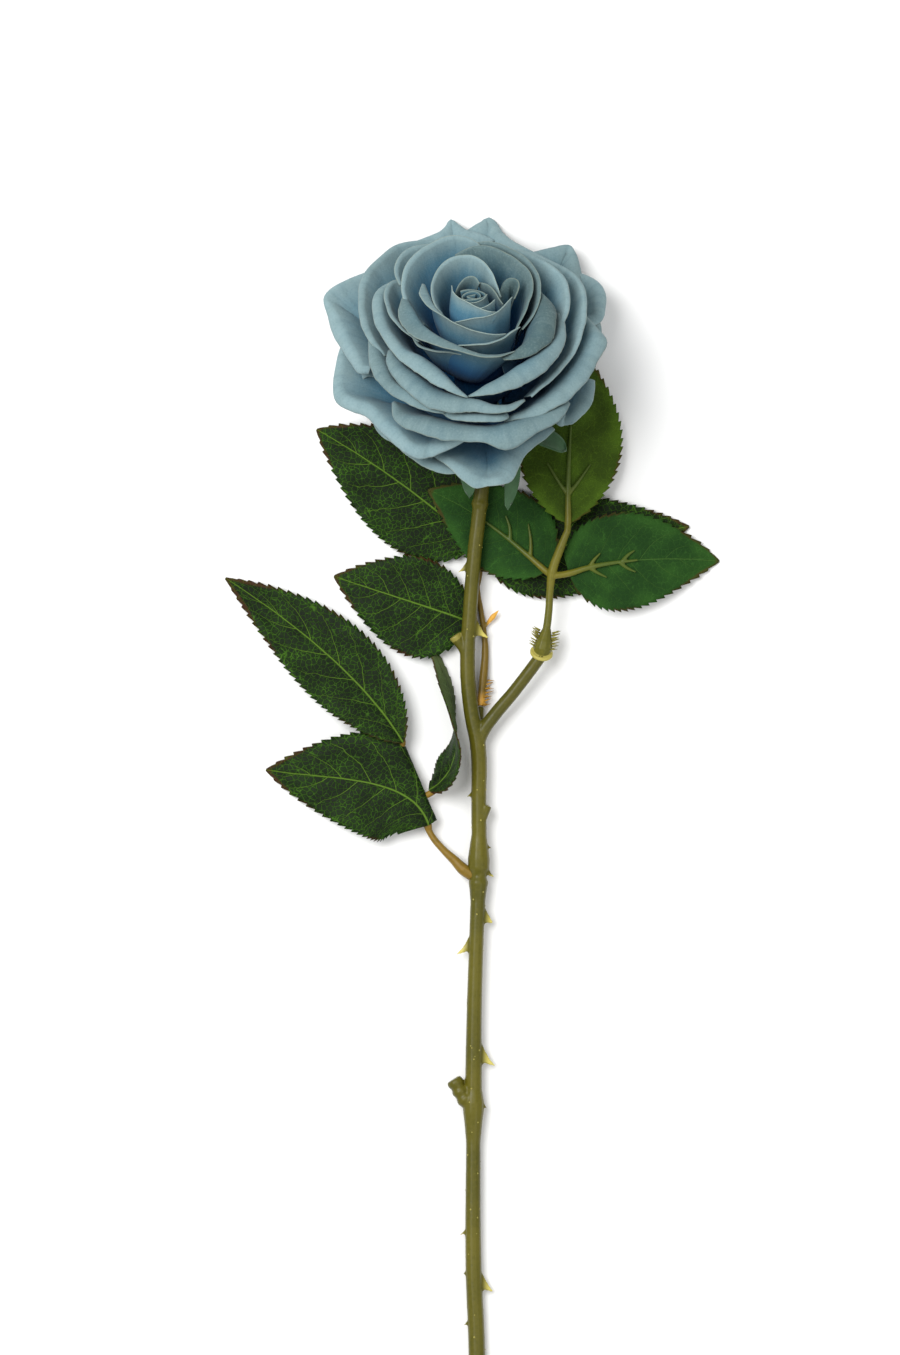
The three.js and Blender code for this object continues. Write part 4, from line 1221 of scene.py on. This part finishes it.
PLAIN_LEAF = {
    "roll": (0, 0), "face": 1, "rib": 0.3, "spurs": [], "widest": 0.38, "base": FULLNESS, "slim": (0, 0),
    "tuck": None,
}
LEAF_SHAPES = {
    "leaf_a_left": {
        "midrib": [(-17.8, 281.6, 7.2), (-23.5, 300, 6.8), (-53.3, 297.6, 5.5), (-76.3, 301.4, 0.5)],
        "width": 37.8, "fold": 0.03, "base": 0.42,
        "tuck": ((-28.3, 311), (-16.8, 284.0)),
    },
    "leaf_a_end": {
        "midrib": [(-27, 311.3, 8.2), (-38.2, 330.3, 6.5), (-60.5, 350.9, 5), (-90.9, 370.4, 0.5)],
        "width": 32, "fold": 0.1, "widest": 0.43,
        "slim": (0.25, 0.4),
    },
    "leaf_a_right": {
        "midrib": [(-17.8, 294.3, 6.5), (-3.2, 302, 10), (-6.2, 322, 12), (-18, 350, 0)],
        "width": 19, "fold": 0.1, "roll": (0.85, 2.2),
    },
    "leaf_b_left": {
        "midrib": [(-2.6, 354.6, 3.5), (-17.3, 360, 3.8), (-33.5, 364.7, 4.2), (-51.8, 371.1, 0.5)],
        "width": 37, "fold": 0.05, "slim": (0, 0.36),
    },
    "leaf_b_up": {
        "midrib": [(-1.2, 382, 2.4), (-13, 394.6, 1.4), (-36.9, 412.1, 2.8), (-58.1, 423.9, 0.5)],
        "width": 40, "fold": 0.01, "rib": 0.25, "widest": 0.42, "base": 0.6,
    },
    "leaf_b_right": {
        "midrib": [(2.8, 378, 3), (22.3, 381, 3.6), (51.1, 385, 4.4), (76, 389, 1)],
        "width": 36, "fold": -0.03,
    },
    "leaf_c_left": {
        "midrib": [(24.4, 372.9, 8.2), (13.3, 382.6, 4.4), (0.7, 394.4, 3.8), (-18, 402.1, 3.3)],
        "width": 34, "fold": -0.02, "face": -1, "rib": 0.6, "spurs": [(0.16, 1, 12), (0.36, 1, 9)],
        "slim": (0.42, 0),
    },
    "leaf_c_right": {
        "midrib": [(32.6, 372, 9.4), (45, 376.6, 10.5), (65, 378.6, 8), (86.8, 376.5, 0.5)],
        "width": 34.5, "fold": -0.08, "face": -1, "rib": 0.52, "widest": 0.42, "base": 0.55,
        "spurs": [(0.18, -1, 7), (0.18, 1, 8), (0.42, -1, 6), (0.4, 1, 7)],
    },
    "leaf_c_end": {
        "midrib": [(32.4, 390, 11), (32, 409.3, 11), (33.8, 434.5, 9), (35.6, 454.3, 5)],
        "width": 37, "widest": 0.47, "fold": -0.14, "face": -1, "rib": 0.55,
        "spurs": [(0.17, -1, 13), (0.17, 1, 13)],
    },
}
LEAVES = {name: {**PLAIN_LEAF, **own} for name, own in LEAF_SHAPES.items()}
print("leaves:", len(LEAVES))

# %% [markdown]
# ## A point of a blade
#
# Half the width swells from the foot to the widest place and narrows to the tip. With it, any point of a
# blade can be found from two shares: s along the midrib, and t across, from -1 to 1. What is past the line
# of a tuck is rolled round a small cylinder and lies flat under the rest.

# %% Points of a blade


def half_width(leaf, s, t=0):
    """From the midrib to the margin, on the side that t is on."""
    swell = max(0, math.sin(math.pi * s ** (math.log(0.5) / math.log(leaf["widest"]))))
    fullness = leaf["base"] * (1 - s) + FULLNESS * s
    slim = 1 - leaf["slim"][t > 0] * (1 - s) ** 2
    return max(0.4, leaf["width"] / 2 * swell**fullness * (1 - 0.2 * s**4) * slim)


def leaf_place(leaf, s, t):
    """A point of the blade, and the directions along it, across it and off its upper face."""
    point = bezier(leaf["midrib"], s)
    ahead = bezier(leaf["midrib"], min(1, s + NEARBY))
    behind = bezier(leaf["midrib"], max(0, s - NEARBY))
    along = (ahead - behind).normalized()
    flat = along.cross(Vector((0, 0, 1))).normalized()
    up = flat.cross(along)
    first, last = leaf["roll"]
    roll = first + (last - first) * s * s * (3 - 2 * s)
    side = flat * math.cos(roll) + up * math.sin(roll)
    normal = up * math.cos(roll) - flat * math.sin(roll)
    out = t * half_width(leaf, s, t)
    return point + side * out + normal * leaf["fold"] * abs(out), along, side, normal


def tucked(point, line):
    """Rolls the part of a blade that is past a line under the rest."""
    start, end = (Vector((*place, 0)) for place in line)
    outwards = Vector((0, 0, 1)).cross(end - start).normalized()
    past = (point - start).dot(outwards)
    if past <= 0:
        return point
    turn = min(past / TUCK_RADIUS, math.pi)
    reach = TUCK_RADIUS * math.sin(turn) - (past - turn * TUCK_RADIUS)
    return point + outwards * (reach - past) - Vector((0, 0, TUCK_RADIUS * (1 - math.cos(turn))))


print("widest half of the first leaf:", round(half_width(LEAVES["leaf_a_left"], 0.38), 1), "mm")

# %% [markdown]
# ## Leaf print
#
# The cloth is printed: dark green with a fine yellow-green net, clear side veins and a midrib, and a
# reddish brown margin. An image would fix the size of the print, so it is worked out on two maps of the
# blade instead. The first gives the place across and along from 0 to 1, which the veins follow, and the
# second is in millimetres, which sets the size of the net. The back is the same print seen through, so it
# is paler and softer, and on two of the leaves it is paler still.

# %% Leaf finishes
RED_MARGIN = colour(78, 38, 22)


def cell_lines(finish, vector, cells, width):
    """The lines between cells, with this many cells to the millimetre."""
    settings = {"feature": "DISTANCE_TO_EDGE"}
    values = {"Vector": vector, "Scale": cells}
    return 1 - finish.fade(finish.node("ShaderNodeTexVoronoi", settings, values), 0.0, width)


def leaf_finish(name, dark, light, net_colour, vein, vein_share, roughness):
    finish = Finish(name, Specular_IOR_Level=0.1)
    blade = finish.uv("blade")
    cloth = finish.uv("cloth")
    t = finish.part(blade, 0)
    s = finish.part(blade, 1)
    edge = finish.attribute("edge")
    sideways = abs(t)
    wobble = (finish.cloud(finish.uv("cloth", 0.16), 2) - 0.5) * 0.1
    shift = finish.fade(t, -0.001, 0.001) * VEIN_SHIFT
    phase = (s - VEIN_RISE * sideways**VEIN_CURVE + wobble * sideways) * VEINS + shift
    apart = abs(phase.maths("FRACT", phase) - 0.5)
    side_vein = (1 - finish.fade(apart + sideways * 0.012, 0.006, 0.028)) * finish.fade(sideways, 1.0, 0.8)
    midrib = 1 - finish.fade(abs(finish.part(cloth, 0)) + s * 0.25, 0.25, 0.55)
    swirl = finish.node("ShaderNodeTexNoise", None, {"Vector": cloth, "Scale": 0.45}, output=1)
    warped = finish.node("ShaderNodeVectorMath", {"operation": "ADD"}, {0: cloth, 1: swirl})
    net = cell_lines(finish, warped, 0.55, 0.07)
    mesh = cell_lines(finish, warped, 1.5, 0.12)
    patch = finish.cloud(finish.uv("cloth", 0.07), 2)
    body = finish.mix(finish.fade(patch + (1 - finish.fade(edge, 0, 6)) * 0.12, 0.4, 0.72), dark, light)
    shown = 0.35 + finish.fade(patch + (1 - finish.fade(edge, 0, 6)) * 0.1, 0.35, 0.65) * 0.4
    body = finish.mix((net + mesh * 0.25) * shown, body, net_colour)
    body = finish.mix(side_vein.maths("MAXIMUM", side_vein, midrib) * vein_share, body, vein)
    tip = finish.fade(s, 0.72, 1.0)
    margin = 1 - finish.fade(edge + (patch - 0.4) * 3 - tip * 0.8, 0.0, 0.7)
    body = finish.mix(margin * 0.45, body, RED_MARGIN)
    finish.feed("Base Color", body)
    finish.feed("Roughness", roughness + net * 0.1)
    relief = mesh * 0.15 - side_vein * 0.8 - midrib * 1.2 - net * 0.4
    finish.bump(relief, 0.0004, 0.6)
    return finish


VEIN_YELLOW = colour(92, 124, 40)
leaf_top = leaf_finish(
    "leaf_top", dark=colour(8, 19, 4), light=colour(16, 34, 6), net_colour=colour(64, 104, 24),
    vein=VEIN_YELLOW, vein_share=0.8, roughness=0.5,
)
leaf_back = leaf_finish(
    "leaf_back", dark=colour(24, 54, 18), light=colour(38, 74, 24), net_colour=colour(50, 88, 34),
    vein=colour(80, 116, 50), vein_share=0.35, roughness=0.7,
)
leaf_thin = leaf_finish(
    "leaf_thin", dark=colour(48, 67, 13), light=colour(68, 94, 20), net_colour=colour(78, 104, 28),
    vein=colour(88, 106, 34), vein_share=0.3, roughness=0.7,
)
leaf_pale = leaf_finish(
    "leaf_pale", dark=colour(56, 74, 40), light=colour(88, 102, 62), net_colour=colour(92, 110, 66),
    vein=colour(118, 130, 78), vein_share=0.3, roughness=0.7,
)
BACKS = {"leaf_c_end": leaf_thin, "leaf_a_right": leaf_pale}
print("leaf finishes made")

# %% [markdown]
# ## Blades with teeth
#
# There are three rows of the grid to a tooth, and its outer columns are pushed out and forwards, at right
# angles to the margin, to make the saw. Side veins, and deeper the midrib, are pressed in from above. A
# leaf has two finishes, and both are put on before the cloth gets its thickness, because Solidify then
# gives the second one to the underside.

# %% Build the leaves
def leaf_blade(name, leaf):
    midrib = [bezier(leaf["midrib"], k / 20) for k in range(21)]
    length = sum((after - before).length for before, after in zip(midrib, midrib[1:]))
    teeth = round(length / TOOTH_LENGTH)
    rows = 3 * teeth
    piece = add_grid(LEAF_COLUMNS, rows)
    blades, cloths, edges = [], [], []
    for vertex in piece.data.vertices:
        t = vertex.co.x
        s = (vertex.co.y + 1) / 2
        point, along, side, normal = leaf_place(leaf, s, t)
        half = half_width(leaf, s, t)
        grown = min(1, half / 6)
        tooth = round(s * rows) % 3 / 2
        if abs(t) > 0.999:
            ahead = leaf_place(leaf, min(1, s + NEARBY), t)[0]
            behind = leaf_place(leaf, max(0, s - NEARBY), t)[0]
            margin = (ahead - behind).normalized()
            outwards = margin.cross(normal).normalized() * t
            point += (outwards * TOOTH_DEPTH + margin * TOOTH_LEAD) * tooth * grown
        phase = (s - VEIN_RISE * abs(t) ** VEIN_CURVE) * VEINS + (VEIN_SHIFT if t > 0 else 0)
        vein = math.exp(-(((phase % 1 - 0.5) / VEIN_WIDTH) ** 2)) * min(1, half / 8)
        middle = math.exp(-((t * half / MIDRIB_WIDTH) ** 2))
        wave = noise.noise(Vector((t * 1.6, s * 5, length))) * WAVE * t * t * grown
        point += normal * (wave - VEIN_DEPTH * vein * (1 - abs(t)) - MIDRIB_DEPTH * middle * (1 - s))
        if leaf["tuck"]:
            point = tucked(point, leaf["tuck"])
        vertex.co = spot(point.x, point.y, max(point.z, LEAST_LEAF_HEIGHT))
        blades.append((t, s))
        cloths.append((t * half, s * length))
        edges.append(min((1 - abs(t)) * half, (1 - s) * length * 0.5))
    layer = piece.data.uv_layers.new(name="blade")
    lay_cloth(piece, cloths)
    for loop in piece.data.loops:
        layer.data[loop.index].uv = blades[loop.vertex_index]
    mark(piece, "edge", edges)
    piece.name = name + "_cloth"
    back = BACKS.get(name, leaf_back)
    sides = [leaf_top, back] if leaf["face"] > 0 else [back, leaf_top]
    for finish in sides:
        piece.data.materials.append(finish.material)
    apply_modifier(piece, "SOLIDIFY", thickness=LEAF_CLOTH * MM, offset=0, material_offset=1)
    bpy.ops.object.shade_smooth()
    hand_over(piece, sides, "leaf_fabric", name)


for name, leaf in LEAVES.items():
    leaf_blade(name, leaf)

# %% [markdown]
# ## Leaf stalks
#
# Each stalk is moulded in one with a rib under each of its three leaves, and the ribs of the right-hand
# stalk lie on the visible backs of its leaves, with short spurs like fish bones. A rib follows the blade's
# back, so it is worked out from the leaf itself. Stiff hairs stand in rings round the sockets.

# %% Ribs and stalks
RIB_UNDER = 1.9
RIB_OVER = 0.8
RIB_RADII = [1.25, 1.0, 0.75, 0.4]
SPUR_RADII = [0.8, 0.6, 0.3]


def leaf_back_at(leaf, s, t):
    point, _, _, normal = leaf_place(leaf, s, t)
    point = point - normal * RIB_UNDER if leaf["face"] > 0 else point + normal * RIB_OVER
    return point.x, point.y, max(point.z, 0.8)


def spur(leaf, at, side, length):
    root = leaf_back_at(leaf, at, 0)
    ahead = at + length * 0.5 / leaf["width"]
    out = side * length * 0.6 / half_width(leaf, ahead)
    middle = leaf_back_at(leaf, at + (ahead - at) * 0.45, out * 0.55)
    return limb([root, middle, leaf_back_at(leaf, ahead, out)], SPUR_RADII)


def share_of(route, share):
    """A point at a share of the length of a route."""
    points = [Vector(point) for point in route]
    lengths = [(after - before).length for before, after in zip(points, points[1:])]
    left = share * sum(lengths)
    for k, length in enumerate(lengths):
        if left <= length or k == len(lengths) - 1:
            return tuple(points[k].lerp(points[k + 1], left / length))
        left -= length


def rib(leaf, start, radius):
    places = [leaf_back_at(leaf, share * leaf["rib"], 0) for share in (0.02, 0.3, 0.65, 1)]
    parts = [limb([start, *places], [radius, *RIB_RADII])]
    return parts + [spur(leaf, *values) for values in leaf["spurs"]]


def stalk(name, route, radii, links, extra=()):
    parts = [limb(route, radii), *extra]
    for leaf_name, share in links:
        parts += rib(LEAVES[leaf_name], share_of(route, share), radii[-1])
    return fuse(name + "_skin", parts, 0.22, 2)


print("a rib lies", RIB_UNDER, "mm under the middle of a leaf")

# %% Stiff hairs
HAIR_FOOT = 0.4
HAIR_TIP = 0.05
HAIR_SUNK = 0.6


def hair_places(centre, axis, radius, reach, rings, spacing, count, seed):
    """Stiff hairs in rings round a socket, leaning away from the stem."""
    chance = random.Random(seed)
    centre, axis = Vector(centre), Vector(axis).normalized()
    right = axis.cross(Vector((0, 0, 1))).normalized()
    up = right.cross(axis)
    places = []
    for k in range(rings):
        for i in range(count):
            turn = (i + 0.5 * (k % 2) + chance.uniform(-0.25, 0.25)) / count * math.tau
            out = right * math.cos(turn) + up * math.sin(turn)
            foot = centre + axis * (k * spacing) + out * (radius - HAIR_SUNK)
            lean = out + axis * chance.uniform(0.15, 0.6)
            places.append((spot(*foot), lean, (1, 1, reach * chance.uniform(0.75, 1.15))))
    return [place for place in places if place[0].z > 0.5 * MM]


def hairs(places):
    deselect()
    bpy.ops.mesh.primitive_cone_add(vertices=6, radius1=HAIR_FOOT * MM, radius2=HAIR_TIP * MM, depth=MM)
    template = bpy.context.object
    template.location.z = MM / 2
    bpy.ops.object.transform_apply(location=True)
    bpy.ops.object.shade_smooth()
    return copies(template, places)


print("a hair is", 2 * HAIR_FOOT, "mm thick at its foot")

# %% [markdown]
# ## The three stalks
#
# The left stalk is bare and tan. The rear one is brown, ends in a hairy socket behind the stem and has a
# thin pointed stipule. The right-hand one grows out of a bulb in a round rim, and turns green where its
# ribs lie on the leaves. Each has its own route, with the thickness at every point. The rear socket has
# hairs on its right side only, and the right-hand one has them at both sides.

# %% Left stalk
A_ROUTE = [
    (-1.9, 263.6, 4.6), (-5.2, 265.6, 4.8), (-8.6, 269, 4.8), (-12.2, 272.4, 4.8), (-16.8, 278, 4.5),
    (-20.6, 287, 3.8), (-26.2, 300.6, 3.4), (-28.4, 308.5, 3.6),
]
stalk_a = stalk(
    "stalk_a", A_ROUTE, [2.4, 2.2, 1.7, 1.35, 1.2, 1.15, 1.05, 1.0],
    [("leaf_a_left", 0.42), ("leaf_a_end", 1), ("leaf_a_right", 0.64)],
)
mark(stalk_a, "pale", [0] * len(stalk_a.data.vertices))
hand_over(stalk_a, [tan_plastic], "stalk_plastic", "stalk_a")

# %% Rear stalk with its stipule and hairy socket
B_ROUTE = [
    (0.95, 324.6, 3.2), (1.9, 334, 2.6), (2.6, 344.5, 2.0), (2.2, 351, 1.7), (1.1, 358.2, 1.5),
    (-0.2, 366, 1.4), (-0.9, 374.5, 1.4),
]
STIPULE_ROUTE = [(2.0, 352, 1.8), (3.4, 354.1, 2.1), (5.4, 356.5, 2.5), (7.5, 358.9, 2.8)]
stipule = limb(STIPULE_ROUTE, [0.4, 0.6, 1.0, 0.15])
stalk_b = stalk(
    "stalk_b", B_ROUTE, [1.5, 1.6, 1.3, 1.0, 1.0, 1.0, 1.0],
    [("leaf_b_left", 0.52), ("leaf_b_up", 1), ("leaf_b_right", 0.86)], [stipule],
)
B_AXIS = Vector((0.95, 9.4, -0.6))
b_places = hair_places(
    B_ROUTE[0], B_AXIS, radius=1.6, reach=3.2, rings=7, spacing=1.5, count=7, seed=3,
)
b_hairs = hairs([place for place in b_places if place[1].x > 0.5])
body_points = len(stalk_b.data.vertices)
stalk_b = join("stalk_b_skin", [stalk_b, *b_hairs])
keep_up(stalk_b)


def stipule_share(place):
    x, y, _ = (place - SHIFT) / MM
    if y < 330:
        return max(0, min(0.7, (330 - y) / 5))
    return max(0, min(1, (x - 3.0) / 1.0)) if 350 < y < 361 else 0


mark(stalk_b, "pale", [
    stipule_share(vertex.co) if k < body_points else 0.5 for k, vertex in enumerate(stalk_b.data.vertices)
])
hand_over(stalk_b, [brown_plastic], "stalk_plastic", "stalk_b")

# %% Right-hand stalk with its collar, bulb and hairs
C_ROUTE = [
    (22.75, 342.9, 9.25), (24.3, 350, 9.7), (25.4, 358, 10), (25.9, 366, 10.2), (26.8, 373, 10.6),
    (29.6, 381, 11.6), (32.2, 387.5, 12.4),
]
C_AXIS = (Vector(C_ROUTE[1]) - Vector(C_ROUTE[0])).normalized()


def up_bulb(distance):
    return tuple(Vector(C_ROUTE[0]) + C_AXIS * distance)


RIM_RADIUS = 3.5
RIM_TILT = math.radians(36)
rim_across = C_AXIS.cross(Vector((0, 0, 1))).normalized()
rim_up = rim_across.cross(C_AXIS) * math.cos(RIM_TILT) - C_AXIS * math.sin(RIM_TILT)


def round_rim(turn):
    return tuple(Vector(up_bulb(0.6)) + (rim_across * math.cos(turn) + rim_up * math.sin(turn)) * RIM_RADIUS)


bulb = limb([up_bulb(k) for k in (-0.4, 2.2, 4.6, 7, 9.5)], [2.8, 3.5, 3.1, 2.3, 1.6])
collar = limb([round_rim(math.tau * k / 12) for k in range(13)], [0.75] * 13)
stalk_c = stalk(
    "stalk_c", C_ROUTE, [1.5, 1.5, 1.4, 1.35, 1.7, 1.5, 1.2],
    [("leaf_c_left", 0.62), ("leaf_c_end", 1), ("leaf_c_right", 0.62)], [bulb, collar],
)
c_places = hair_places(
    up_bulb(2.4), C_AXIS, radius=3.2, reach=2.9, rings=7, spacing=1.0, count=16, seed=8,
)
c_hairs = hairs([place for place in c_places if -0.6 < place[1].z < 0.55])
body_points = len(stalk_c.data.vertices)
stalk_c = join("stalk_c_skin", [stalk_c, *c_hairs])
keep_up(stalk_c)


def collar_share(place):
    """Near the round rim the plastic is pale."""
    from_middle = (place - SHIFT) / MM - Vector(up_bulb(0.6))
    off_plane = from_middle.dot(rim_across.cross(rim_up))
    out = (from_middle - rim_across.cross(rim_up) * off_plane).length
    return max(0, min(0.65, (1.3 - math.hypot(out - RIM_RADIUS, off_plane)) / 0.6))


mark(stalk_c, "pale", [
    collar_share(vertex.co) if k < body_points else 0.25 for k, vertex in enumerate(stalk_c.data.vertices)
])


def leafy_share(place):
    """Out on the leaves the ribs turn from olive to the green of the cloth."""
    away = min(((place - SHIFT) / MM - Vector(point)).length for point in C_ROUTE)
    return max(0, min(0.8, (away - 5) / 14))


mark(stalk_c, "leafy", [leafy_share(vertex.co) for vertex in stalk_c.data.vertices])
hand_over(stalk_c, [olive_plastic], "stalk_plastic", "stalk_c")

# %% [markdown]
# ## Cup and sepals
#
# Under the bloom is a small cup with five narrow sepals of green cloth, bent back along the stem. The cup
# is a turned shape: a round face is extruded along the outline and resized at each step, as on a lathe.
# Each sepal is a grid that narrows to its tip, with a slight gutter along its middle. Its row gives its
# turn round the axis, its length, how far it bends back, its width, how blunt its end is and its sweep.

# %% Sepal finish
def sepal_finish():
    finish = Finish("sepal_cloth", Roughness=0.85, Sheen_Weight=0.15)
    patch = finish.cloud(finish.place(200), 3)
    rise = finish.attribute("rise")
    body = finish.mix(finish.fade(patch, 0.3, 0.7), colour(36, 68, 38), colour(54, 90, 54))
    body = finish.mix(finish.fade(rise, 0.5, 1.0) * 0.5, body, colour(70, 106, 70))
    finish.feed("Base Color", body)
    finish.bump(patch + weave(finish, finish.uv("cloth"), 3) * 0.3, 0.0002, 0.5)
    return finish


sepal_cloth = sepal_finish()
print("finish:", sepal_cloth.material.name)

# %% Build the cup and its sepals
CUP_OUTLINE = [(0.3, -6), (2.8, -6), (4.6, -5.2), (6.0, -3.4), (6.3, -2), (6.0, -0.6), (4.5, 0.2), (0.3, 0.2)]
SEPALS = [
    (-55, 33, 0.62, 7.5, 9, -8), (-108, 27, 0.8, 8, 5, 0), (-16, 31.5, 0.28, 9, 14, 0),
    (62, 28, 0.3, 8, 4, 0), (150, 30, 0.35, 8, 4, 0),
]
CUP_RADIUS = 6.2
SEPAL_ROOT = 1.4
SEPAL_START = -2.6
SEPAL_COLUMNS = 8
SEPAL_ROWS = 24


def cup():
    deselect()
    bpy.ops.mesh.primitive_circle_add(vertices=32, radius=1, fill_type="NGON")
    piece = bpy.context.object
    bpy.ops.object.mode_set(mode="EDIT")
    bpy.ops.mesh.select_all(action="SELECT")
    out, up = 1.0, 0.0
    for next_out, next_up in CUP_OUTLINE:
        bpy.ops.mesh.extrude_region_move(TRANSFORM_OT_translate={"value": (0, 0, next_up - up)})
        bpy.ops.transform.resize(value=(next_out / out, next_out / out, 1), center_override=(0, 0, next_up))
        out, up = next_out, next_up
    bpy.ops.mesh.select_all(action="SELECT")
    bpy.ops.mesh.remove_doubles(threshold=0.01)
    bpy.ops.mesh.normals_make_consistent(inside=False)
    bpy.ops.object.mode_set(mode="OBJECT")
    for vertex in piece.data.vertices:
        vertex.co = spot(*in_flower(*vertex.co))
    return piece


def sepal(turn, length, back, width, round_end, sweep):
    azimuth = math.radians(turn)
    piece = add_grid(SEPAL_COLUMNS, SEPAL_ROWS)
    flat, rises = [], []
    for vertex in piece.data.vertices:
        t = vertex.co.x
        s = (vertex.co.y + 1) / 2
        out = CUP_RADIUS - SEPAL_ROOT + length * s * (1 - back * s * 0.6)
        half = width / 2 * (0.7 + 0.3 * math.sin(math.pi * s)) * max(0, 1 - s**round_end) ** 0.5 + 0.1
        sideways = t * half + sweep * s**3
        gutter = t * t * 0.9
        up = SEPAL_START - length * back * s * s + gutter + 0.7 * noise.noise(Vector((s * 3, turn, 0)))
        place = in_flower(
            out * math.cos(azimuth) - sideways * math.sin(azimuth),
            out * math.sin(azimuth) + sideways * math.cos(azimuth),
            up,
        )
        vertex.co = spot(place.x, place.y, max(place.z, LEAST_LEAF_HEIGHT))
        flat.append((sideways, s * length))
        rises.append(s)
    lay_cloth(piece, flat)
    mark(piece, "rise", rises)
    apply_modifier(piece, "SOLIDIFY", thickness=LEAF_CLOTH * MM, offset=0)
    return piece


calyx = join("calyx_cloth", [cup(), *[sepal(*values) for values in SEPALS]])
bpy.ops.object.shade_smooth()
hand_over(calyx, [sepal_cloth], "sepal_fabric", "calyx")

# %% [markdown]
# ## A table and soft light
#
# The rose lies on a pale plain table. A photographer would light it with a large soft box from the upper
# left and a weaker one opposite, and so does this. The camera hangs straight above with a long lens, because
# from far off nothing looks nearer or further, and the rose keeps its true outline.

# %% Stage, light and camera
FLOOR_SIZE = 8
PALE_TABLE = colour(243, 243, 242)
floor = add_grid(2, 2)
floor.name = "floor"
floor.scale = (FLOOR_SIZE / 2, FLOOR_SIZE / 2, 1)
floor_finish = Finish("pale_floor", Roughness=0.9)
floor_finish.feed("Base Color", PALE_TABLE)
floor.data.materials.append(floor_finish.material)

PHOTO_CENTRE = (-8.07, 84.96)
PHOTO_HEIGHT = 487.8
CAMERA_HEIGHT = 12.0
SENSOR = 24.0

camera_data = bpy.data.cameras.new("camera")
camera_data.sensor_fit = "VERTICAL"
camera_data.sensor_height = SENSOR
camera_data.lens = SENSOR * CAMERA_HEIGHT / (PHOTO_HEIGHT * MM)
camera_data.clip_end = 60
camera = bpy.data.objects.new("camera", camera_data)
bpy.context.collection.objects.link(camera)
camera.location = (PHOTO_CENTRE[0] * MM, PHOTO_CENTRE[1] * MM, CAMERA_HEIGHT)
bpy.context.scene.camera = camera


def soft_light(name, place, size, power):
    lamp = bpy.data.lights.new(name, "AREA")
    lamp.shape = "DISK"
    lamp.size = size
    lamp.energy = power
    light = bpy.data.objects.new(name, lamp)
    light.location = place
    light.rotation_euler = (-Vector(place)).to_track_quat("-Z", "Y").to_euler()
    bpy.context.collection.objects.link(light)


soft_light("key", (-1.0, 0.7, 2.2), size=1.6, power=62)
soft_light("fill", (1.4, -1.0, 2.2), size=2.2, power=20)

SKY_STRENGTH = 0.55
world = bpy.data.worlds.new("studio")
bpy.context.scene.world = world
world.use_nodes = True
sky = world.node_tree.nodes["Background"]
sky.inputs["Color"].default_value = (1, 1, 1, 1)
sky.inputs["Strength"].default_value = SKY_STRENGTH
bpy.context.scene.view_settings.view_transform = "Standard"
print("camera lens:", round(camera_data.lens))
